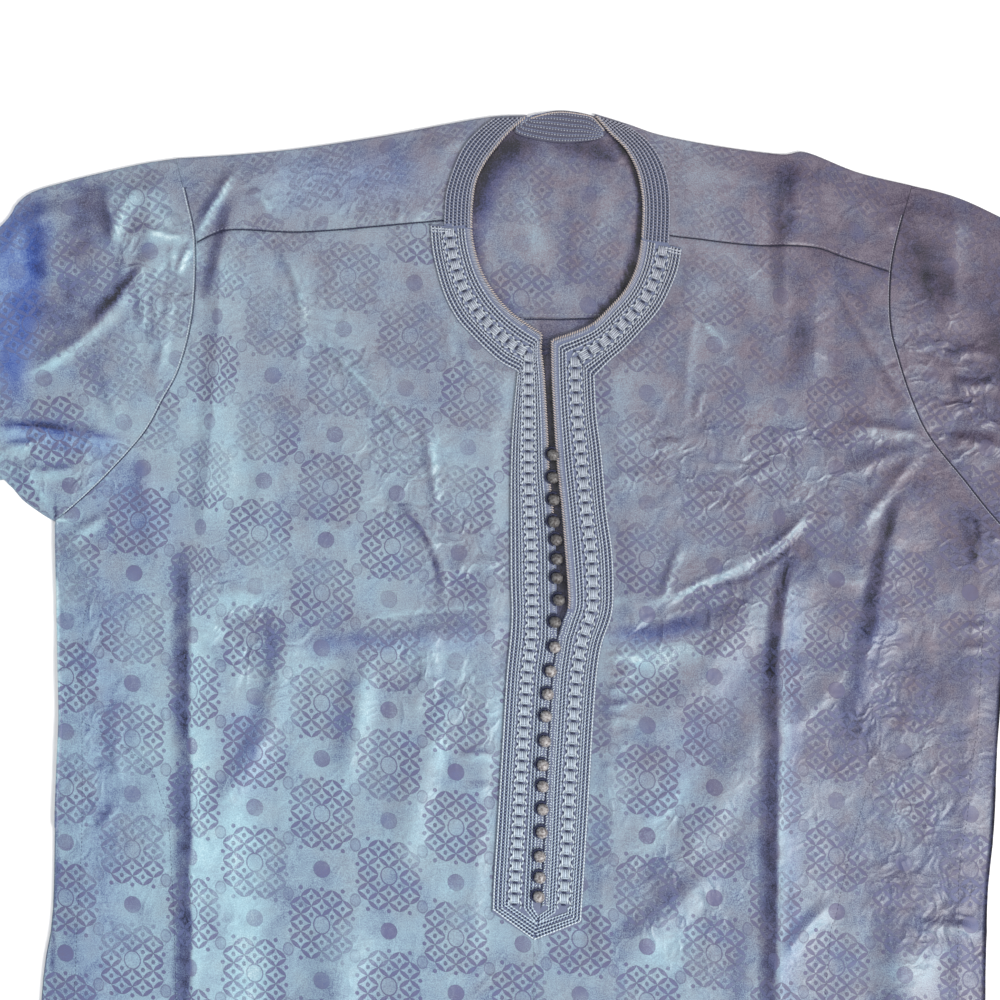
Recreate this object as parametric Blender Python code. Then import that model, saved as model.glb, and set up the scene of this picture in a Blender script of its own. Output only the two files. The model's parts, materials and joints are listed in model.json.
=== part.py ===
"""A men's robe in damask cotton, laid flat on its back: body, yoke, sleeves, braid trims and buttons.

All sizes here are millimetres, measured from the front neck point (x to the wearer's left as seen
from above, y towards the neck, z up from the surface that the robe lies on). The finished meshes
are in metres, with the origin under the middle of the robe.
"""

import math
from collections import namedtuple

import bmesh
import bpy

MM = 0.001
CLOTH = 1.5                        # wall of every cloth layer
GAP = 0.3                          # between neighbouring pieces
UNDER = CLOTH + GAP                # underside of the upper layer
BRAID_FLOOR = UNDER + CLOTH + GAP  # underside of the braid
BRAID = 1.4                        # braid without its raised rows
BAG = 1.0                          # wall of a pocket bag
BAG_LIFT = BAG + GAP               # how far a bag lifts the front
BAG_REACH = 38.0                   # how far round a bag the front stays lifted
HEM = -1194.0
SLIT_END = -426.0
TRIM_TIP = -451.5
CLOSED_GAP = 0.4                   # half the slit's width where it is buttoned
CUFF = 160.0                       # cuff, laid flat
BUTTON_RADIUS = 4.5
BUTTON_SEAT = -1.5                 # flat foot of a button, from its middle
EDGE_FADE = 26.0                   # folds die out this far before a folded or sewn edge
TRIM_FADE = 20.0                   # and this far before the stiff braid
END_FADE = 60.0                    # longest fade at the two ends of a fold
BACK_PEEK = 1.5                    # how far the back shows past the front's left side edge,
PEEK_START, PEEK_LENGTH = -280.0, 60.0    # from where, and over what length it comes out

Spot = namedtuple("Spot", "x y")
Seam = namedtuple("Seam", "x y steps")            # steps: pieces up to the next row
Row = namedtuple("Row", "inner trim steps")       # y on the slit side, y on the braid's outer edge
Fold = namedtuple("Fold", "x0 y0 x1 y1 x2 y2 height left right")
Rib = namedtuple("Rib", "across rise")
Sleeve = namedtuple("Sleeve", "top low cuff_top cuff_angle")
Rise = namedtuple("Rise", "y height")

# Armhole seams from the shoulder fold to the underarm. The third mark is the front yoke seam and
# the fourth the back yoke seam.
ARMHOLE_LEFT = (
    Seam(-279.0, 133.5, 2), Seam(-271.0, 101.0, 2), Seam(-265.5, 70.5, 3), Seam(-267.5, 19.0, 2),
    Seam(-277.5, -21.8, 2), Seam(-290.5, -47.0, 1), Seam(-304.0, -71.0, 2), Seam(-329.0, -99.5, 1),
    Seam(-348.0, -118.0, 1), Seam(-369.0, -136.5, 0),
)
ARMHOLE_RIGHT = (
    Seam(273.0, 113.2, 2), Seam(263.0, 80.0, 2), Seam(257.2, 49.5, 3), Seam(256.8, 12.0, 2),
    Seam(263.0, -16.0, 2), Seam(273.0, -46.5, 1), Seam(286.5, -74.2, 2), Seam(312.8, -107.0, 1),
    Seam(331.0, -130.0, 1), Seam(350.2, -151.5, 0),
)
YOKE_STEPS = 4                     # armhole pieces that belong to the front of the yoke
BACK_SEAM_STEP = 7                 # armhole mark where the back yoke seam ends
BEND_STEPS = 2                     # points round the shoulder fold, between its two layers

# Shoulder folds, from the armhole to the neck, with the back of the neck between them.
SHOULDER_LEFT = (
    Spot(-279.0, 133.5), Spot(-231.0, 136.5), Spot(-186.0, 141.0), Spot(-126.0, 150.0),
    Spot(-77.2, 159.0), Spot(-41.2, 165.0), Spot(-15.8, 166.0),
)
BACK_NECK = (Spot(-15.8, 166.0), Spot(-3.0, 169.6), Spot(9.0, 171.2), Spot(22.0, 170.0), Spot(35.2, 167.0))
SHOULDER_RIGHT = (
    Spot(35.2, 167.0), Spot(60.8, 159.0), Spot(85.5, 150.8), Spot(129.0, 142.5), Spot(175.5, 136.5),
    Spot(194.2, 138.0), Spot(232.5, 123.0), Spot(273.0, 113.2),
)
FRONT_SEAM_LEFT = (
    Spot(-265.5, 70.5), Spot(-238.5, 81.0), Spot(-186.0, 79.5), Spot(-126.0, 84.0),
    Spot(-78.8, 88.5), Spot(-57.2, 89.5),
)
FRONT_SEAM_RIGHT = (
    Spot(70.6, 80.4), Spot(101.2, 75.8), Spot(152.2, 69.8), Spot(198.0, 68.2), Spot(221.2, 60.8),
    Spot(257.2, 49.5),
)

# Neck edge from the shoulder fold to the slit, then the slit's own edge.
NECK_LEFT = (
    Spot(-15.8, 166.0), Spot(-28.5, 155.2), Spot(-38.2, 144.0), Spot(-48.0, 130.5), Spot(-54.8, 114.8),
    Spot(-57.2, 91.5), Spot(-56.2, 72.0), Spot(-50.2, 51.0), Spot(-39.8, 33.0), Spot(-28.5, 20.2),
    Spot(-15.8, 10.5), Spot(-4.6, 3.4),
)
NECK_RIGHT = (
    Spot(35.2, 167.0), Spot(46.5, 153.8), Spot(57.8, 142.5), Spot(66.0, 127.5), Spot(69.8, 112.5),
    Spot(71.2, 96.8), Spot(69.8, 72.0), Spot(66.0, 52.5), Spot(57.8, 36.0), Spot(46.5, 23.2),
    Spot(33.0, 10.5), Spot(16.0, 3.0), Spot(2.5, -1.0),
)
SLIT_LEFT = (
    Spot(-4.6, 3.4), Spot(-5.2, -8.2), Spot(-3.0, -29.2), Spot(-0.4, -72.8), Spot(0.8, -101.2),
    Spot(3.8, -129.8), Spot(6.0, -159.0), Spot(6.4, -187.5), Spot(6.8, -208.5), Spot(6.6, -222.0),
)
SLIT_RIGHT = (
    Spot(2.5, -1.0), Spot(3.0, -29.2), Spot(4.5, -58.5), Spot(6.8, -93.8), Spot(10.5, -129.8),
    Spot(12.8, -159.0), Spot(15.0, -187.5), Spot(15.0, -201.8), Spot(11.2, -212.2), Spot(8.4, -222.0),
)
CLOSED_SLIT = (
    Spot(7.5, -222.0), Spot(5.2, -237.8), Spot(3.0, -254.2), Spot(0.8, -294.0), Spot(-1.5, -336.0),
    Spot(-3.0, -378.0), Spot(-5.2, SLIT_END),
)

# Outer edges of the braid: the wide part round the neck, down the slit, and the narrow part above.
TRIM_NECK_LEFT = (
    Spot(-88.5, 84.4), Spot(-86.2, 62.2), Spot(-78.8, 34.5), Spot(-69.0, 15.0), Spot(-57.8, 2.2),
    Spot(-45.0, -10.5), Spot(-35.2, -18.8), Spot(-22.6, -25.3),
)
TRIM_NECK_RIGHT = (
    Spot(100.5, 66.8), Spot(97.5, 51.0), Spot(91.5, 36.0), Spot(84.0, 21.8), Spot(72.0, 7.5),
    Spot(57.8, -7.5), Spot(46.5, -17.2), Spot(35.2, -29.0),
)
TRIM_SLIT_LEFT = (
    Spot(-22.6, -25.3), Spot(-26.2, -58.5), Spot(-28.2, -100.0), Spot(-28.5, -173.2), Spot(-27.8, -211.5),
    Spot(-31.5, -254.2), Spot(-34.9, -309.0), Spot(-38.2, -363.0), Spot(-41.2, -408.8), Spot(-42.0, -430.5),
)
TRIM_SLIT_RIGHT = (
    Spot(35.2, -29.0), Spot(36.8, -58.5), Spot(40.5, -87.0), Spot(44.2, -129.8), Spot(48.4, -159.0),
    Spot(49.5, -187.5), Spot(48.0, -208.0), Spot(40.5, -230.0), Spot(36.8, -254.2), Spot(34.0, -290.2),
    Spot(30.8, -345.0), Spot(28.0, -390.0), Spot(24.8, -439.5),
)
TIP = Spot(-10.5, TRIM_TIP)
BAND_LEFT = (
    Spot(-39.8, 165.0), Spot(-52.5, 155.2), Spot(-63.8, 142.5), Spot(-72.0, 124.0), Spot(-76.5, 108.0),
    Spot(-77.6, 95.2), Spot(-78.0, 85.2),
)
BAND_RIGHT = (
    Spot(55.0, 160.8), Spot(69.0, 152.6), Spot(79.5, 142.0), Spot(87.0, 128.0), Spot(90.8, 112.5),
    Spot(91.5, 95.2), Spot(91.0, 80.0), Spot(90.4, 70.6),
)
BAND_START = {"left": (82.6, 85.2), "right": (74.4, 70.6)}    # inner and outer y of the narrow part
TRIM_START = {"left": (81.6, 84.4), "right": (73.4, 66.8)}    # inner and outer y of the wide part
TRIM_QUARTER = (34.0, 12.0)                                   # the same halfway round the neck
BACK_BAND = (
    Spot(-14.6, 165.0), Spot(-2.8, 168.6), Spot(9.0, 170.2), Spot(21.8, 169.0), Spot(34.0, 165.8),
    Spot(43.8, 154.0), Spot(36.8, 149.2), Spot(22.0, 147.2), Spot(9.0, 146.8), Spot(-9.0, 149.2),
    Spot(-25.4, 155.0),
)

# Side edges from the underarm to the hem.
SIDE_LEFT = (
    Spot(-369.0, -136.5), Spot(-367.5, -217.5), Spot(-366.0, -284.2), Spot(-368.6, -343.5),
    Spot(-370.5, -432.0), Spot(-379.0, -496.5), Spot(-388.0, -700.0), Spot(-398.0, -950.0),
    Spot(-405.0, HEM),
)
SIDE_RIGHT = (
    Spot(350.2, -151.5), Spot(343.0, -215.0), Spot(337.0, -290.0), Spot(333.0, -368.2),
    Spot(328.0, -430.0), Spot(327.0, -560.0), Spot(332.0, -780.0), Spot(340.0, -1000.0),
    Spot(346.0, HEM),
)
CENTRE_HEM_X = -24.0

# How far the slit's right edge stands up where it gapes, at the front panel's own rows.
CURL = (
    Rise(-89.5, 0.0), Rise(-120.5, 1.0), Rise(-151.5, 2.4), Rise(-175.0, 2.8), Rise(-198.5, 1.8),
    Rise(-222.0, 0.0),
)

# Rows of the front panel, from the yoke seam to the hem, for each half.
ROWS_LEFT = (
    Row(89.5, 88.0, 7), Row(3.4, -25.3, 2), Row(-58.5, -58.5, 3), Row(-136.5, -136.5, 3),
    Row(-222.0, -222.0, 6), Row(SLIT_END, SLIT_END, 1), Row(TRIM_TIP, TRIM_TIP, 20), Row(HEM, HEM, 0),
)
ROWS_RIGHT = (
    Row(80.4, 76.2, 7), Row(-1.0, -29.0, 2), Row(-58.5, -58.5, 3), Row(-151.5, -151.5, 3),
    Row(-222.0, -222.0, 6), Row(SLIT_END, SLIT_END, 1), Row(TRIM_TIP, TRIM_TIP, 20), Row(HEM, HEM, 0),
)
ROWS_TO_UNDERARM = 12

# The two pressed folds down the body: the front panel has a column along each.
PLEAT_LEFT = (
    Spot(-244.5, 100.0), Spot(-250.5, -50.0), Spot(-260.0, -157.0), Spot(-267.8, -250.0),
    Spot(-269.5, -500.0), Spot(-274.0, HEM),
)
PLEAT_RIGHT = (
    Spot(187.0, 100.0), Spot(189.0, -46.5), Spot(179.2, -166.5), Spot(173.5, -280.0),
    Spot(168.0, -400.0), Spot(165.0, -600.0), Spot(158.0, HEM),
)
PLEAT_FOOT = 14.0                  # how far the steep side of a pressed fold reaches
COLUMNS = {"left": (5, 3), "right": (4, 4)}      # front columns inside and outside the pressed fold

# Largest folds: start, middle, end, height, and how far each spreads to the left and to the right
# of someone who walks from start to end.
FOLDS = (
    Fold(-261, -140, -268, -300, -274, -1230, 8.0, 48, 14),
    Fold(-244, 84, -250, -50, -260, -157, 2.5, 24, 16),
    Fold(179, -160, 168, -400, 158, -1230, 8.0, 52, 15),
    Fold(187, 138, 187, 60, 190, -60, 3.5, 26, 14),
    Fold(-238, -230, -130, -231, -28, -229, 3.0, 16, 46),
    Fold(46, -229, 134, -192, 216, -138, 4.0, 18, 32),
    Fold(66, -303, 114, -256, 166, -196, 4.0, 22, 26),
    Fold(76, -430, 128, -346, 156, -262, 5.0, 26, 24),
    Fold(270, -92, 262, -196, 222, -345, 7.0, 42, 17),
    Fold(238, -222, 200, -272, 172, -300, 4.0, 16, 18),
    Fold(196, 70, 232, 11, 288, -76, 3.0, 22, 14),
    Fold(212, -66, 250, -68, 290, -72, 3.0, 14, 18),
    Fold(-308, -92, -300, -129, -290, -168, 5.0, 15, 15),
    Fold(-300, 60, -344, 2, -425, -52, 6.0, 26, 20),
    Fold(-430, -66, -360, -68, -312, -80, 5.0, 13, 14),
    Fold(-302, 134, -297, 81, -306, 24, 5.0, 18, 22),
    Fold(-386, 118, -396, 78, -402, 44, 7.0, 34, 22),
    Fold(-228, 130, -247, 66, -258, 22, 4.0, 22, 11),
    Fold(305, 110, 300, 56, 298, 2, 8.0, 34, 40),
    Fold(338, 20, 372, -46, 430, -96, 5.0, 24, 24),
    Fold(-196, -216, -205, -271, -236, -342, 3.0, 22, 16),
    Fold(-136, -232, -143, -290, -156, -342, 3.0, 16, 20),
    Fold(-70, -262, -92, -320, -110, -410, 2.5, 18, 24),
    Fold(-150, -430, -165, -600, -150, -800, 4.0, 30, 34),
    Fold(-70, -620, -80, -820, -66, -1040, 4.0, 34, 30),
    Fold(30, -520, 48, -760, 40, -980, 4.0, 30, 30),
    Fold(96, -800, 92, -960, 86, -1150, 3.5, 26, 30),
    Fold(262, -420, 268, -640, 262, -900, 5.0, 36, 26),
    Fold(-330, -660, -336, -860, -340, -1060, 3.5, 22, 20),
    Fold(-440, 30, -520, -40, -610, -110, 6.0, 28, 24),
    Fold(-470, -110, -560, -168, -650, -226, 5.0, 22, 26),
    Fold(-560, 2, -640, -70, -720, -136, 5.0, 24, 24),
    Fold(430, 22, 520, -36, 630, -96, 6.0, 26, 26),
    Fold(450, -120, 540, -160, 640, -214, 5.0, 24, 22),
    Fold(570, -20, 640, -66, 720, -118, 4.5, 22, 24),
)

# Sleeve edges from the armhole outwards; the cuff is square to the sleeve.
SLEEVE_LEFT = Sleeve(
    top=(
        Spot(-279.0, 133.5), Spot(-303.8, 129.8), Spot(-334.5, 123.0), Spot(-361.5, 116.2),
        Spot(-386.2, 108.8), Spot(-398.5, 100.0), Spot(-412.0, 82.0), Spot(-470.0, 37.0),
        Spot(-600.0, -50.0),
    ),
    low=(
        Spot(-369.0, -136.5), Spot(-377.2, -132.0), Spot(-393.0, -120.8), Spot(-404.0, -109.0),
        Spot(-416.0, -107.0), Spot(-470.0, -143.0), Spot(-560.0, -210.0),
    ),
    cuff_top=Spot(-745.0, -148.0),
    cuff_angle=215.0,
)
SLEEVE_RIGHT = Sleeve(
    top=(
        Spot(273.0, 113.2), Spot(305.2, 105.0), Spot(339.0, 90.0), Spot(420.0, 48.0),
        Spot(560.0, -32.0),
    ),
    low=(Spot(350.2, -151.5), Spot(420.0, -180.0), Spot(560.0, -238.0)),
    cuff_top=Spot(757.0, -146.0),
    cuff_angle=-30.0,
)
SLEEVE_STATIONS = 14
SLEEVE_CROWDING = 1.35             # above 1, stations crowd towards the armhole
SEAM_REACH = 1.6                   # above 1, the armhole's curve dies out sooner along the sleeve

BAG_LEFT = (
    Spot(-363.0, -291.0), Spot(-330.0, -300.0), Spot(-311.0, -311.5), Spot(-295.0, -327.0),
    Spot(-288.8, -345.8), Spot(-282.0, -397.0), Spot(-279.0, -480.0), Spot(-281.0, -560.0),
    Spot(-300.0, -600.0), Spot(-379.0, -612.0), Spot(-374.0, -496.0), Spot(-366.0, -432.0),
    Spot(-364.0, -343.0),
)
BAG_RIGHT = (
    Spot(334.0, -301.0), Spot(294.0, -303.8), Spot(267.0, -315.8), Spot(240.0, -336.0),
    Spot(231.8, -363.0), Spot(221.0, -407.0), Spot(211.5, -451.0), Spot(205.0, -560.0),
    Spot(225.0, -605.0), Spot(323.0, -616.0), Spot(323.0, -500.0), Spot(325.0, -425.0),
    Spot(330.0, -350.0),
)

# Raised rows of the braid, from its outer edge (0) to the neck or slit edge (1).
WIDE_BRAID = (
    Rib(0.0, 0.1), Rib(0.05, 0.9), Rib(0.11, 0.1), Rib(0.18, 0.65), Rib(0.28, 0.5), Rib(0.34, 0.0),
    Rib(0.62, 0.0), Rib(0.68, 0.6), Rib(0.77, 0.4), Rib(0.86, 0.9), Rib(1.0, 0.6),
)
NARROW_BRAID = (
    Rib(0.0, 0.1), Rib(0.08, 0.9), Rib(0.19, 0.2), Rib(0.36, 0.6), Rib(0.5, 0.2), Rib(0.66, 0.6),
    Rib(0.8, 0.3), Rib(0.92, 0.9), Rib(1.0, 0.4),
)
TRIM_STEP = 11.0                   # length of one piece of the trim
BUTTONS = (
    Spot(3.8, -87.8), Spot(3.8, -105.0), Spot(4.5, -121.5), Spot(4.5, -138.0), Spot(6.2, -151.5),
    Spot(6.8, -165.8), Spot(6.8, -180.0), Spot(8.2, -196.5), Spot(5.4, -213.0), Spot(5.2, -231.8),
    Spot(2.2, -249.8), Spot(0.0, -267.0), Spot(-1.5, -283.5), Spot(-2.2, -302.2), Spot(-3.8, -320.2),
    Spot(-3.8, -336.0), Spot(-3.8, -353.2), Spot(-4.5, -370.5), Spot(-6.0, -388.5), Spot(-6.0, -404.2),
    Spot(-6.8, -418.5),
)

COLORS = {
    "damask": (0.32, 0.38, 0.53, 1.0),
    "braid": (0.42, 0.48, 0.58, 1.0),
    "button_thread": (0.36, 0.33, 0.36, 1.0),
    "pocketing": (0.40, 0.43, 0.52, 1.0),
}


# ---- lines -------------------------------------------------------------------------------------

def ease(t):
    """0 to 1 with soft ends."""
    t = min(1.0, max(0.0, t))
    return t * t * (3.0 - 2.0 * t)


def between(a, b, t):
    return Spot(a.x + (b.x - a.x) * t, a.y + (b.y - a.y) * t)


def curve_point(before, start, end, after, t):
    """One coordinate of a smooth line through start and end."""
    return 0.5 * (
        2.0 * start
        + (end - before) * t
        + (2.0 * before - 5.0 * start + 4.0 * end - after) * t * t
        + (3.0 * start - before - 3.0 * end + after) * t * t * t
    )


def smooth(spots, steps=None):
    """A smooth line through the spots, with the given number of pieces between each pair."""
    line = []
    last = len(spots) - 1
    for i in range(last):
        near = [spots[max(0, i - 1)], spots[i], spots[i + 1], spots[min(last, i + 2)]]
        count = steps[i] if steps else 5
        for k in range(count):
            t = k / count
            line.append(Spot(
                curve_point(*[spot.x for spot in near], t),
                curve_point(*[spot.y for spot in near], t),
            ))
    line.append(Spot(spots[last].x, spots[last].y))
    return line


def x_at(line, y):
    """x on a line that runs downwards."""
    for a, b in zip(line, line[1:]):
        if b.y <= y:
            return a.x + (b.x - a.x) * min(1.0, max(0.0, (y - a.y) / (b.y - a.y or 1.0)))
    return line[-1].x


def y_at(line, x):
    """y on a line that runs to the right."""
    for a, b in zip(line, line[1:]):
        if b.x >= x:
            return a.y + (b.y - a.y) * min(1.0, max(0.0, (x - a.x) / (b.x - a.x or 1.0)))
    return line[-1].y


def along(line, share):
    """The point at a share of the line's length."""
    lengths = [math.dist(a, b) for a, b in zip(line, line[1:])]
    left = sum(lengths) * share
    for (a, b), length in zip(zip(line, line[1:]), lengths):
        if left <= length:
            return between(a, b, left / length if length else 0.0)
        left -= length
    return line[-1]


def beside(line, distance):
    """The line moved sideways: to the left of its own direction for a distance above 0."""
    moved = []
    for i, spot in enumerate(line):
        a, b = line[max(0, i - 1)], line[min(len(line) - 1, i + 1)]
        length = math.dist(a, b)
        moved.append(Spot(
            spot.x - (b.y - a.y) / length * distance,
            spot.y + (b.x - a.x) / length * distance,
        ))
    return moved


def shifted(spots, dx):
    return [Spot(spot.x + dx, spot.y) for spot in spots]


def armhole(seams):
    return smooth(seams, [seam.steps for seam in seams[:-1]])


def cuff_low(sleeve):
    """Lower corner of the cuff."""
    turn = -90.0 if math.cos(math.radians(sleeve.cuff_angle)) > 0 else 90.0
    angle = math.radians(sleeve.cuff_angle + turn)
    return Spot(
        sleeve.cuff_top.x + CUFF * math.cos(angle),
        sleeve.cuff_top.y + CUFF * math.sin(angle),
    )


HOLE = {"left": armhole(ARMHOLE_LEFT), "right": armhole(ARMHOLE_RIGHT)}
BODY_HOLE = {"left": beside(HOLE["left"], GAP / 2.0), "right": beside(HOLE["right"], -GAP / 2.0)}
SLEEVE_HOLE = {"left": beside(HOLE["left"], -GAP / 2.0), "right": beside(HOLE["right"], GAP / 2.0)}
SHOULDER = {"left": smooth(SHOULDER_LEFT), "right": smooth(SHOULDER_RIGHT)}
FRONT_SEAM = {"left": FRONT_SEAM_LEFT, "right": FRONT_SEAM_RIGHT}
ROWS = {"left": ROWS_LEFT, "right": ROWS_RIGHT}
INNER = {
    "left": smooth(NECK_LEFT) + smooth(SLIT_LEFT) + shifted(smooth(CLOSED_SLIT), -CLOSED_GAP),
    "right": smooth(NECK_RIGHT) + smooth(SLIT_RIGHT) + shifted(smooth(CLOSED_SLIT), CLOSED_GAP),
}
CENTRE = [CLOSED_SLIT[-1], TIP, Spot(CENTRE_HEM_X, HEM)]
TRIM = {
    "left": smooth(TRIM_NECK_LEFT) + smooth(TRIM_SLIT_LEFT),
    "right": smooth(TRIM_NECK_RIGHT) + smooth(TRIM_SLIT_RIGHT),
}
BAND = {"left": smooth(BAND_LEFT), "right": smooth(BAND_RIGHT)}
SIDE = {"left": smooth(SIDE_LEFT), "right": smooth(SIDE_RIGHT)}
PLEAT = {"left": smooth(PLEAT_LEFT), "right": smooth(PLEAT_RIGHT)}
SLEEVE_TOP = {
    "left": smooth(SLEEVE_LEFT.top + (SLEEVE_LEFT.cuff_top,)),
    "right": smooth(SLEEVE_RIGHT.top + (SLEEVE_RIGHT.cuff_top,)),
}
SLEEVE_LOW = {
    "left": smooth(SLEEVE_LEFT.low + (cuff_low(SLEEVE_LEFT),)),
    "right": smooth(SLEEVE_RIGHT.low + (cuff_low(SLEEVE_RIGHT),)),
}
TOP_LINE = (
    SLEEVE_TOP["left"][::-1] + SHOULDER["left"] + smooth(BACK_NECK) + SHOULDER["right"]
    + SLEEVE_TOP["right"]
)


# ---- height of the upper layer ------------------------------------------------------------------

def fold_height(fold, x, y):
    """Height that one fold adds at a place."""
    marks = (Spot(fold.x0, fold.y0), Spot(fold.x1, fold.y1), Spot(fold.x2, fold.y2))
    total = math.dist(marks[0], marks[1]) + math.dist(marks[1], marks[2])
    best, walked = None, 0.0
    for a, b in zip(marks, marks[1:]):
        length = math.dist(a, b)
        ux, uy = (b.x - a.x) / length, (b.y - a.y) / length
        t = min(length, max(0.0, (x - a.x) * ux + (y - a.y) * uy))
        distance = math.dist((x, y), (a.x + ux * t, a.y + uy * t))
        on_left = ux * (y - a.y) - uy * (x - a.x) > 0.0
        if best is None or distance < best[0]:
            best = (distance, walked + t, on_left)
        walked += length
    distance, walked, on_left = best
    side = ease(1.0 - distance / (fold.left if on_left else fold.right))
    ends = ease(min(walked, total - walked) / min(END_FADE, total / 3.0) + 0.15)
    return fold.height * side * ends


def edge_share(x, y):
    """0 at a folded or sewn edge of the robe, 1 well inside it."""
    share = ease((y_at(TOP_LINE, x) - y) / EDGE_FADE)
    for name, way in (("left", -1.0), ("right", 1.0)):
        side, low = SIDE[name], SLEEVE_LOW[name]
        inside = way * (x_at(side, y) - x)
        if y < side[0].y and inside > 0.0:
            share *= ease(inside / EDGE_FADE)
        elif way * (x - low[0].x) > 0.0:
            edge = y_at(low if way > 0 else low[::-1], x)
            share *= ease((y - edge) / EDGE_FADE)
    return share


def braid_share(x, y):
    """0 under the stiff braid, 1 well clear of it."""
    outside = []
    for name, way in (("left", -1.0), ("right", 1.0)):
        line = BAND[name] if y > BAND[name][-1].y else TRIM[name]
        outside.append(way * (x - x_at(line, y)))
    below = TRIM_TIP - 6.0 - y
    return ease(max(*outside, below) / TRIM_FADE)


def bag_share(x, y):
    """1 over and round a pocket bag."""
    share = 0.0
    for bag in (BAG_LEFT, BAG_RIGHT):
        inner = [spot.x for spot in bag]
        levels = [spot.y for spot in bag]
        off_x = max(min(inner) - x, x - max(inner), 0.0)
        off_y = max(min(levels) - y, y - max(levels), 0.0)
        share = max(share, 1.0 - ease((math.hypot(off_x, off_y) - BAG_REACH) / BAG_REACH))
    return share


def curl_height(x, y):
    """The slit's right edge stands up where it gapes."""
    for above, below in zip(CURL, CURL[1:]):
        if below.y < y <= above.y:
            inner, outer = x_at(INNER["right"], y), x_at(TRIM["right"], y)
            if x < inner - 1.0:
                return 0.0
            share = (above.y - y) / (above.y - below.y)
            rise = above.height + (below.height - above.height) * share
            return rise * min(1.0, max(0.0, (outer - x) / (outer - inner)))
    return 0.0


def lift(x, y):
    """Underside of the upper cloth layer at a place."""
    folds = sum(fold_height(fold, x, y) for fold in FOLDS)
    return (
        UNDER + folds * edge_share(x, y) * braid_share(x, y)
        + BAG_LIFT * bag_share(x, y) + curl_height(x, y)
    )


# ---- meshes -------------------------------------------------------------------------------------

def material(name):
    made = bpy.data.materials.new(name)
    made.use_nodes = True
    shader = made.node_tree.nodes["Principled BSDF"]
    shader.inputs["Base Color"].default_value = COLORS[name.split("__")[0]]
    shader.inputs["Roughness"].default_value = 0.45
    shader.inputs["Metallic"].default_value = 0.0
    made.diffuse_color = COLORS[name.split("__")[0]]
    return made


def finish(bm, name, cloth):
    """Makes an object from a mesh in millimetres."""
    bmesh.ops.scale(bm, vec=(MM, MM, MM), verts=bm.verts)
    bmesh.ops.recalc_face_normals(bm, faces=bm.faces)
    mesh = bpy.data.meshes.new(name)
    bm.to_mesh(mesh)
    bm.free()
    mesh.shade_smooth()
    mesh.set_sharp_from_angle(angle=math.radians(50.0))
    made = bpy.data.objects.new(name, mesh)
    mesh.materials.append(material(f"{cloth}__{name}"))
    robe.objects.link(made)
    return made


def wall(name, outer, inner, quads, cloth="damask"):
    """A closed wall between two sets of points that share their keys.

    Every edge of the outer surface that only one quad uses gets a strip across to the inner one.
    """
    bm = bmesh.new()
    out = {key: bm.verts.new(point) for key, point in outer.items()}
    back = {key: bm.verts.new(point) for key, point in inner.items()}
    used = set()
    for quad in quads:
        bm.faces.new([out[key] for key in quad])
        bm.faces.new([back[key] for key in reversed(quad)])
        used |= {(a, b) for a, b in zip(quad, quad[1:] + quad[:1])}
    for a, b in sorted(used, key=str):
        if (b, a) not in used:
            bm.faces.new([out[b], out[a], back[a], back[b]])
    return finish(bm, name, cloth)


def loft(name, rings, cloth):
    """A closed solid through rings of points, with flat ends."""
    bm = bmesh.new()
    made = [[bm.verts.new(point) for point in ring] for ring in rings]
    for near, far in zip(made, made[1:]):
        for i in range(len(near)):
            k = (i + 1) % len(near)
            bm.faces.new([near[i], near[k], far[k], far[i]])
    bm.faces.new(made[0][::-1])
    bm.faces.new(made[-1])
    return finish(bm, name, cloth)


def slab(name, outline, low, high, cloth):
    """A flat piece of cloth: its outline, raised."""
    bm = bmesh.new()
    face = bm.faces.new([bm.verts.new((spot.x, spot.y, low)) for spot in outline])
    raised = bmesh.ops.extrude_face_region(bm, geom=[face], use_keep_orig=True)["geom"]
    bmesh.ops.translate(
        bm, vec=(0.0, 0.0, high - low), verts=[v for v in raised if isinstance(v, bmesh.types.BMVert)]
    )
    return finish(bm, name, cloth)


# ---- front, back and yoke -----------------------------------------------------------------------

def column_marks(name, trim_x, outer_x, pleat_x):
    """Shares of a front row from the braid's edge (0) to the side (1), with a column on the pleat."""
    inside, outside = COLUMNS[name]
    reach = (pleat_x - trim_x) / (outer_x - trim_x)
    foot = PLEAT_FOOT / abs(outer_x - trim_x)
    if name == "left":
        low, high = reach, reach + min(foot, (1.0 - reach) / 2.0)
    else:
        low, high = reach - foot, reach
    marks = [low * k / inside for k in range(inside + 1)]
    return marks + [high + (1.0 - high) * k / outside for k in range(outside + 1)]


def levels_of(rows):
    """(y on the slit side, y on the braid's outer edge) of every row of a front half."""
    levels = []
    for row, after in zip(rows, rows[1:]):
        for k in range(row.steps):
            t = k / row.steps
            levels.append((
                row.inner + (after.inner - row.inner) * t,
                row.trim + (after.trim - row.trim) * t,
            ))
    return levels + [(rows[-1].inner, rows[-1].trim)]


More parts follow.
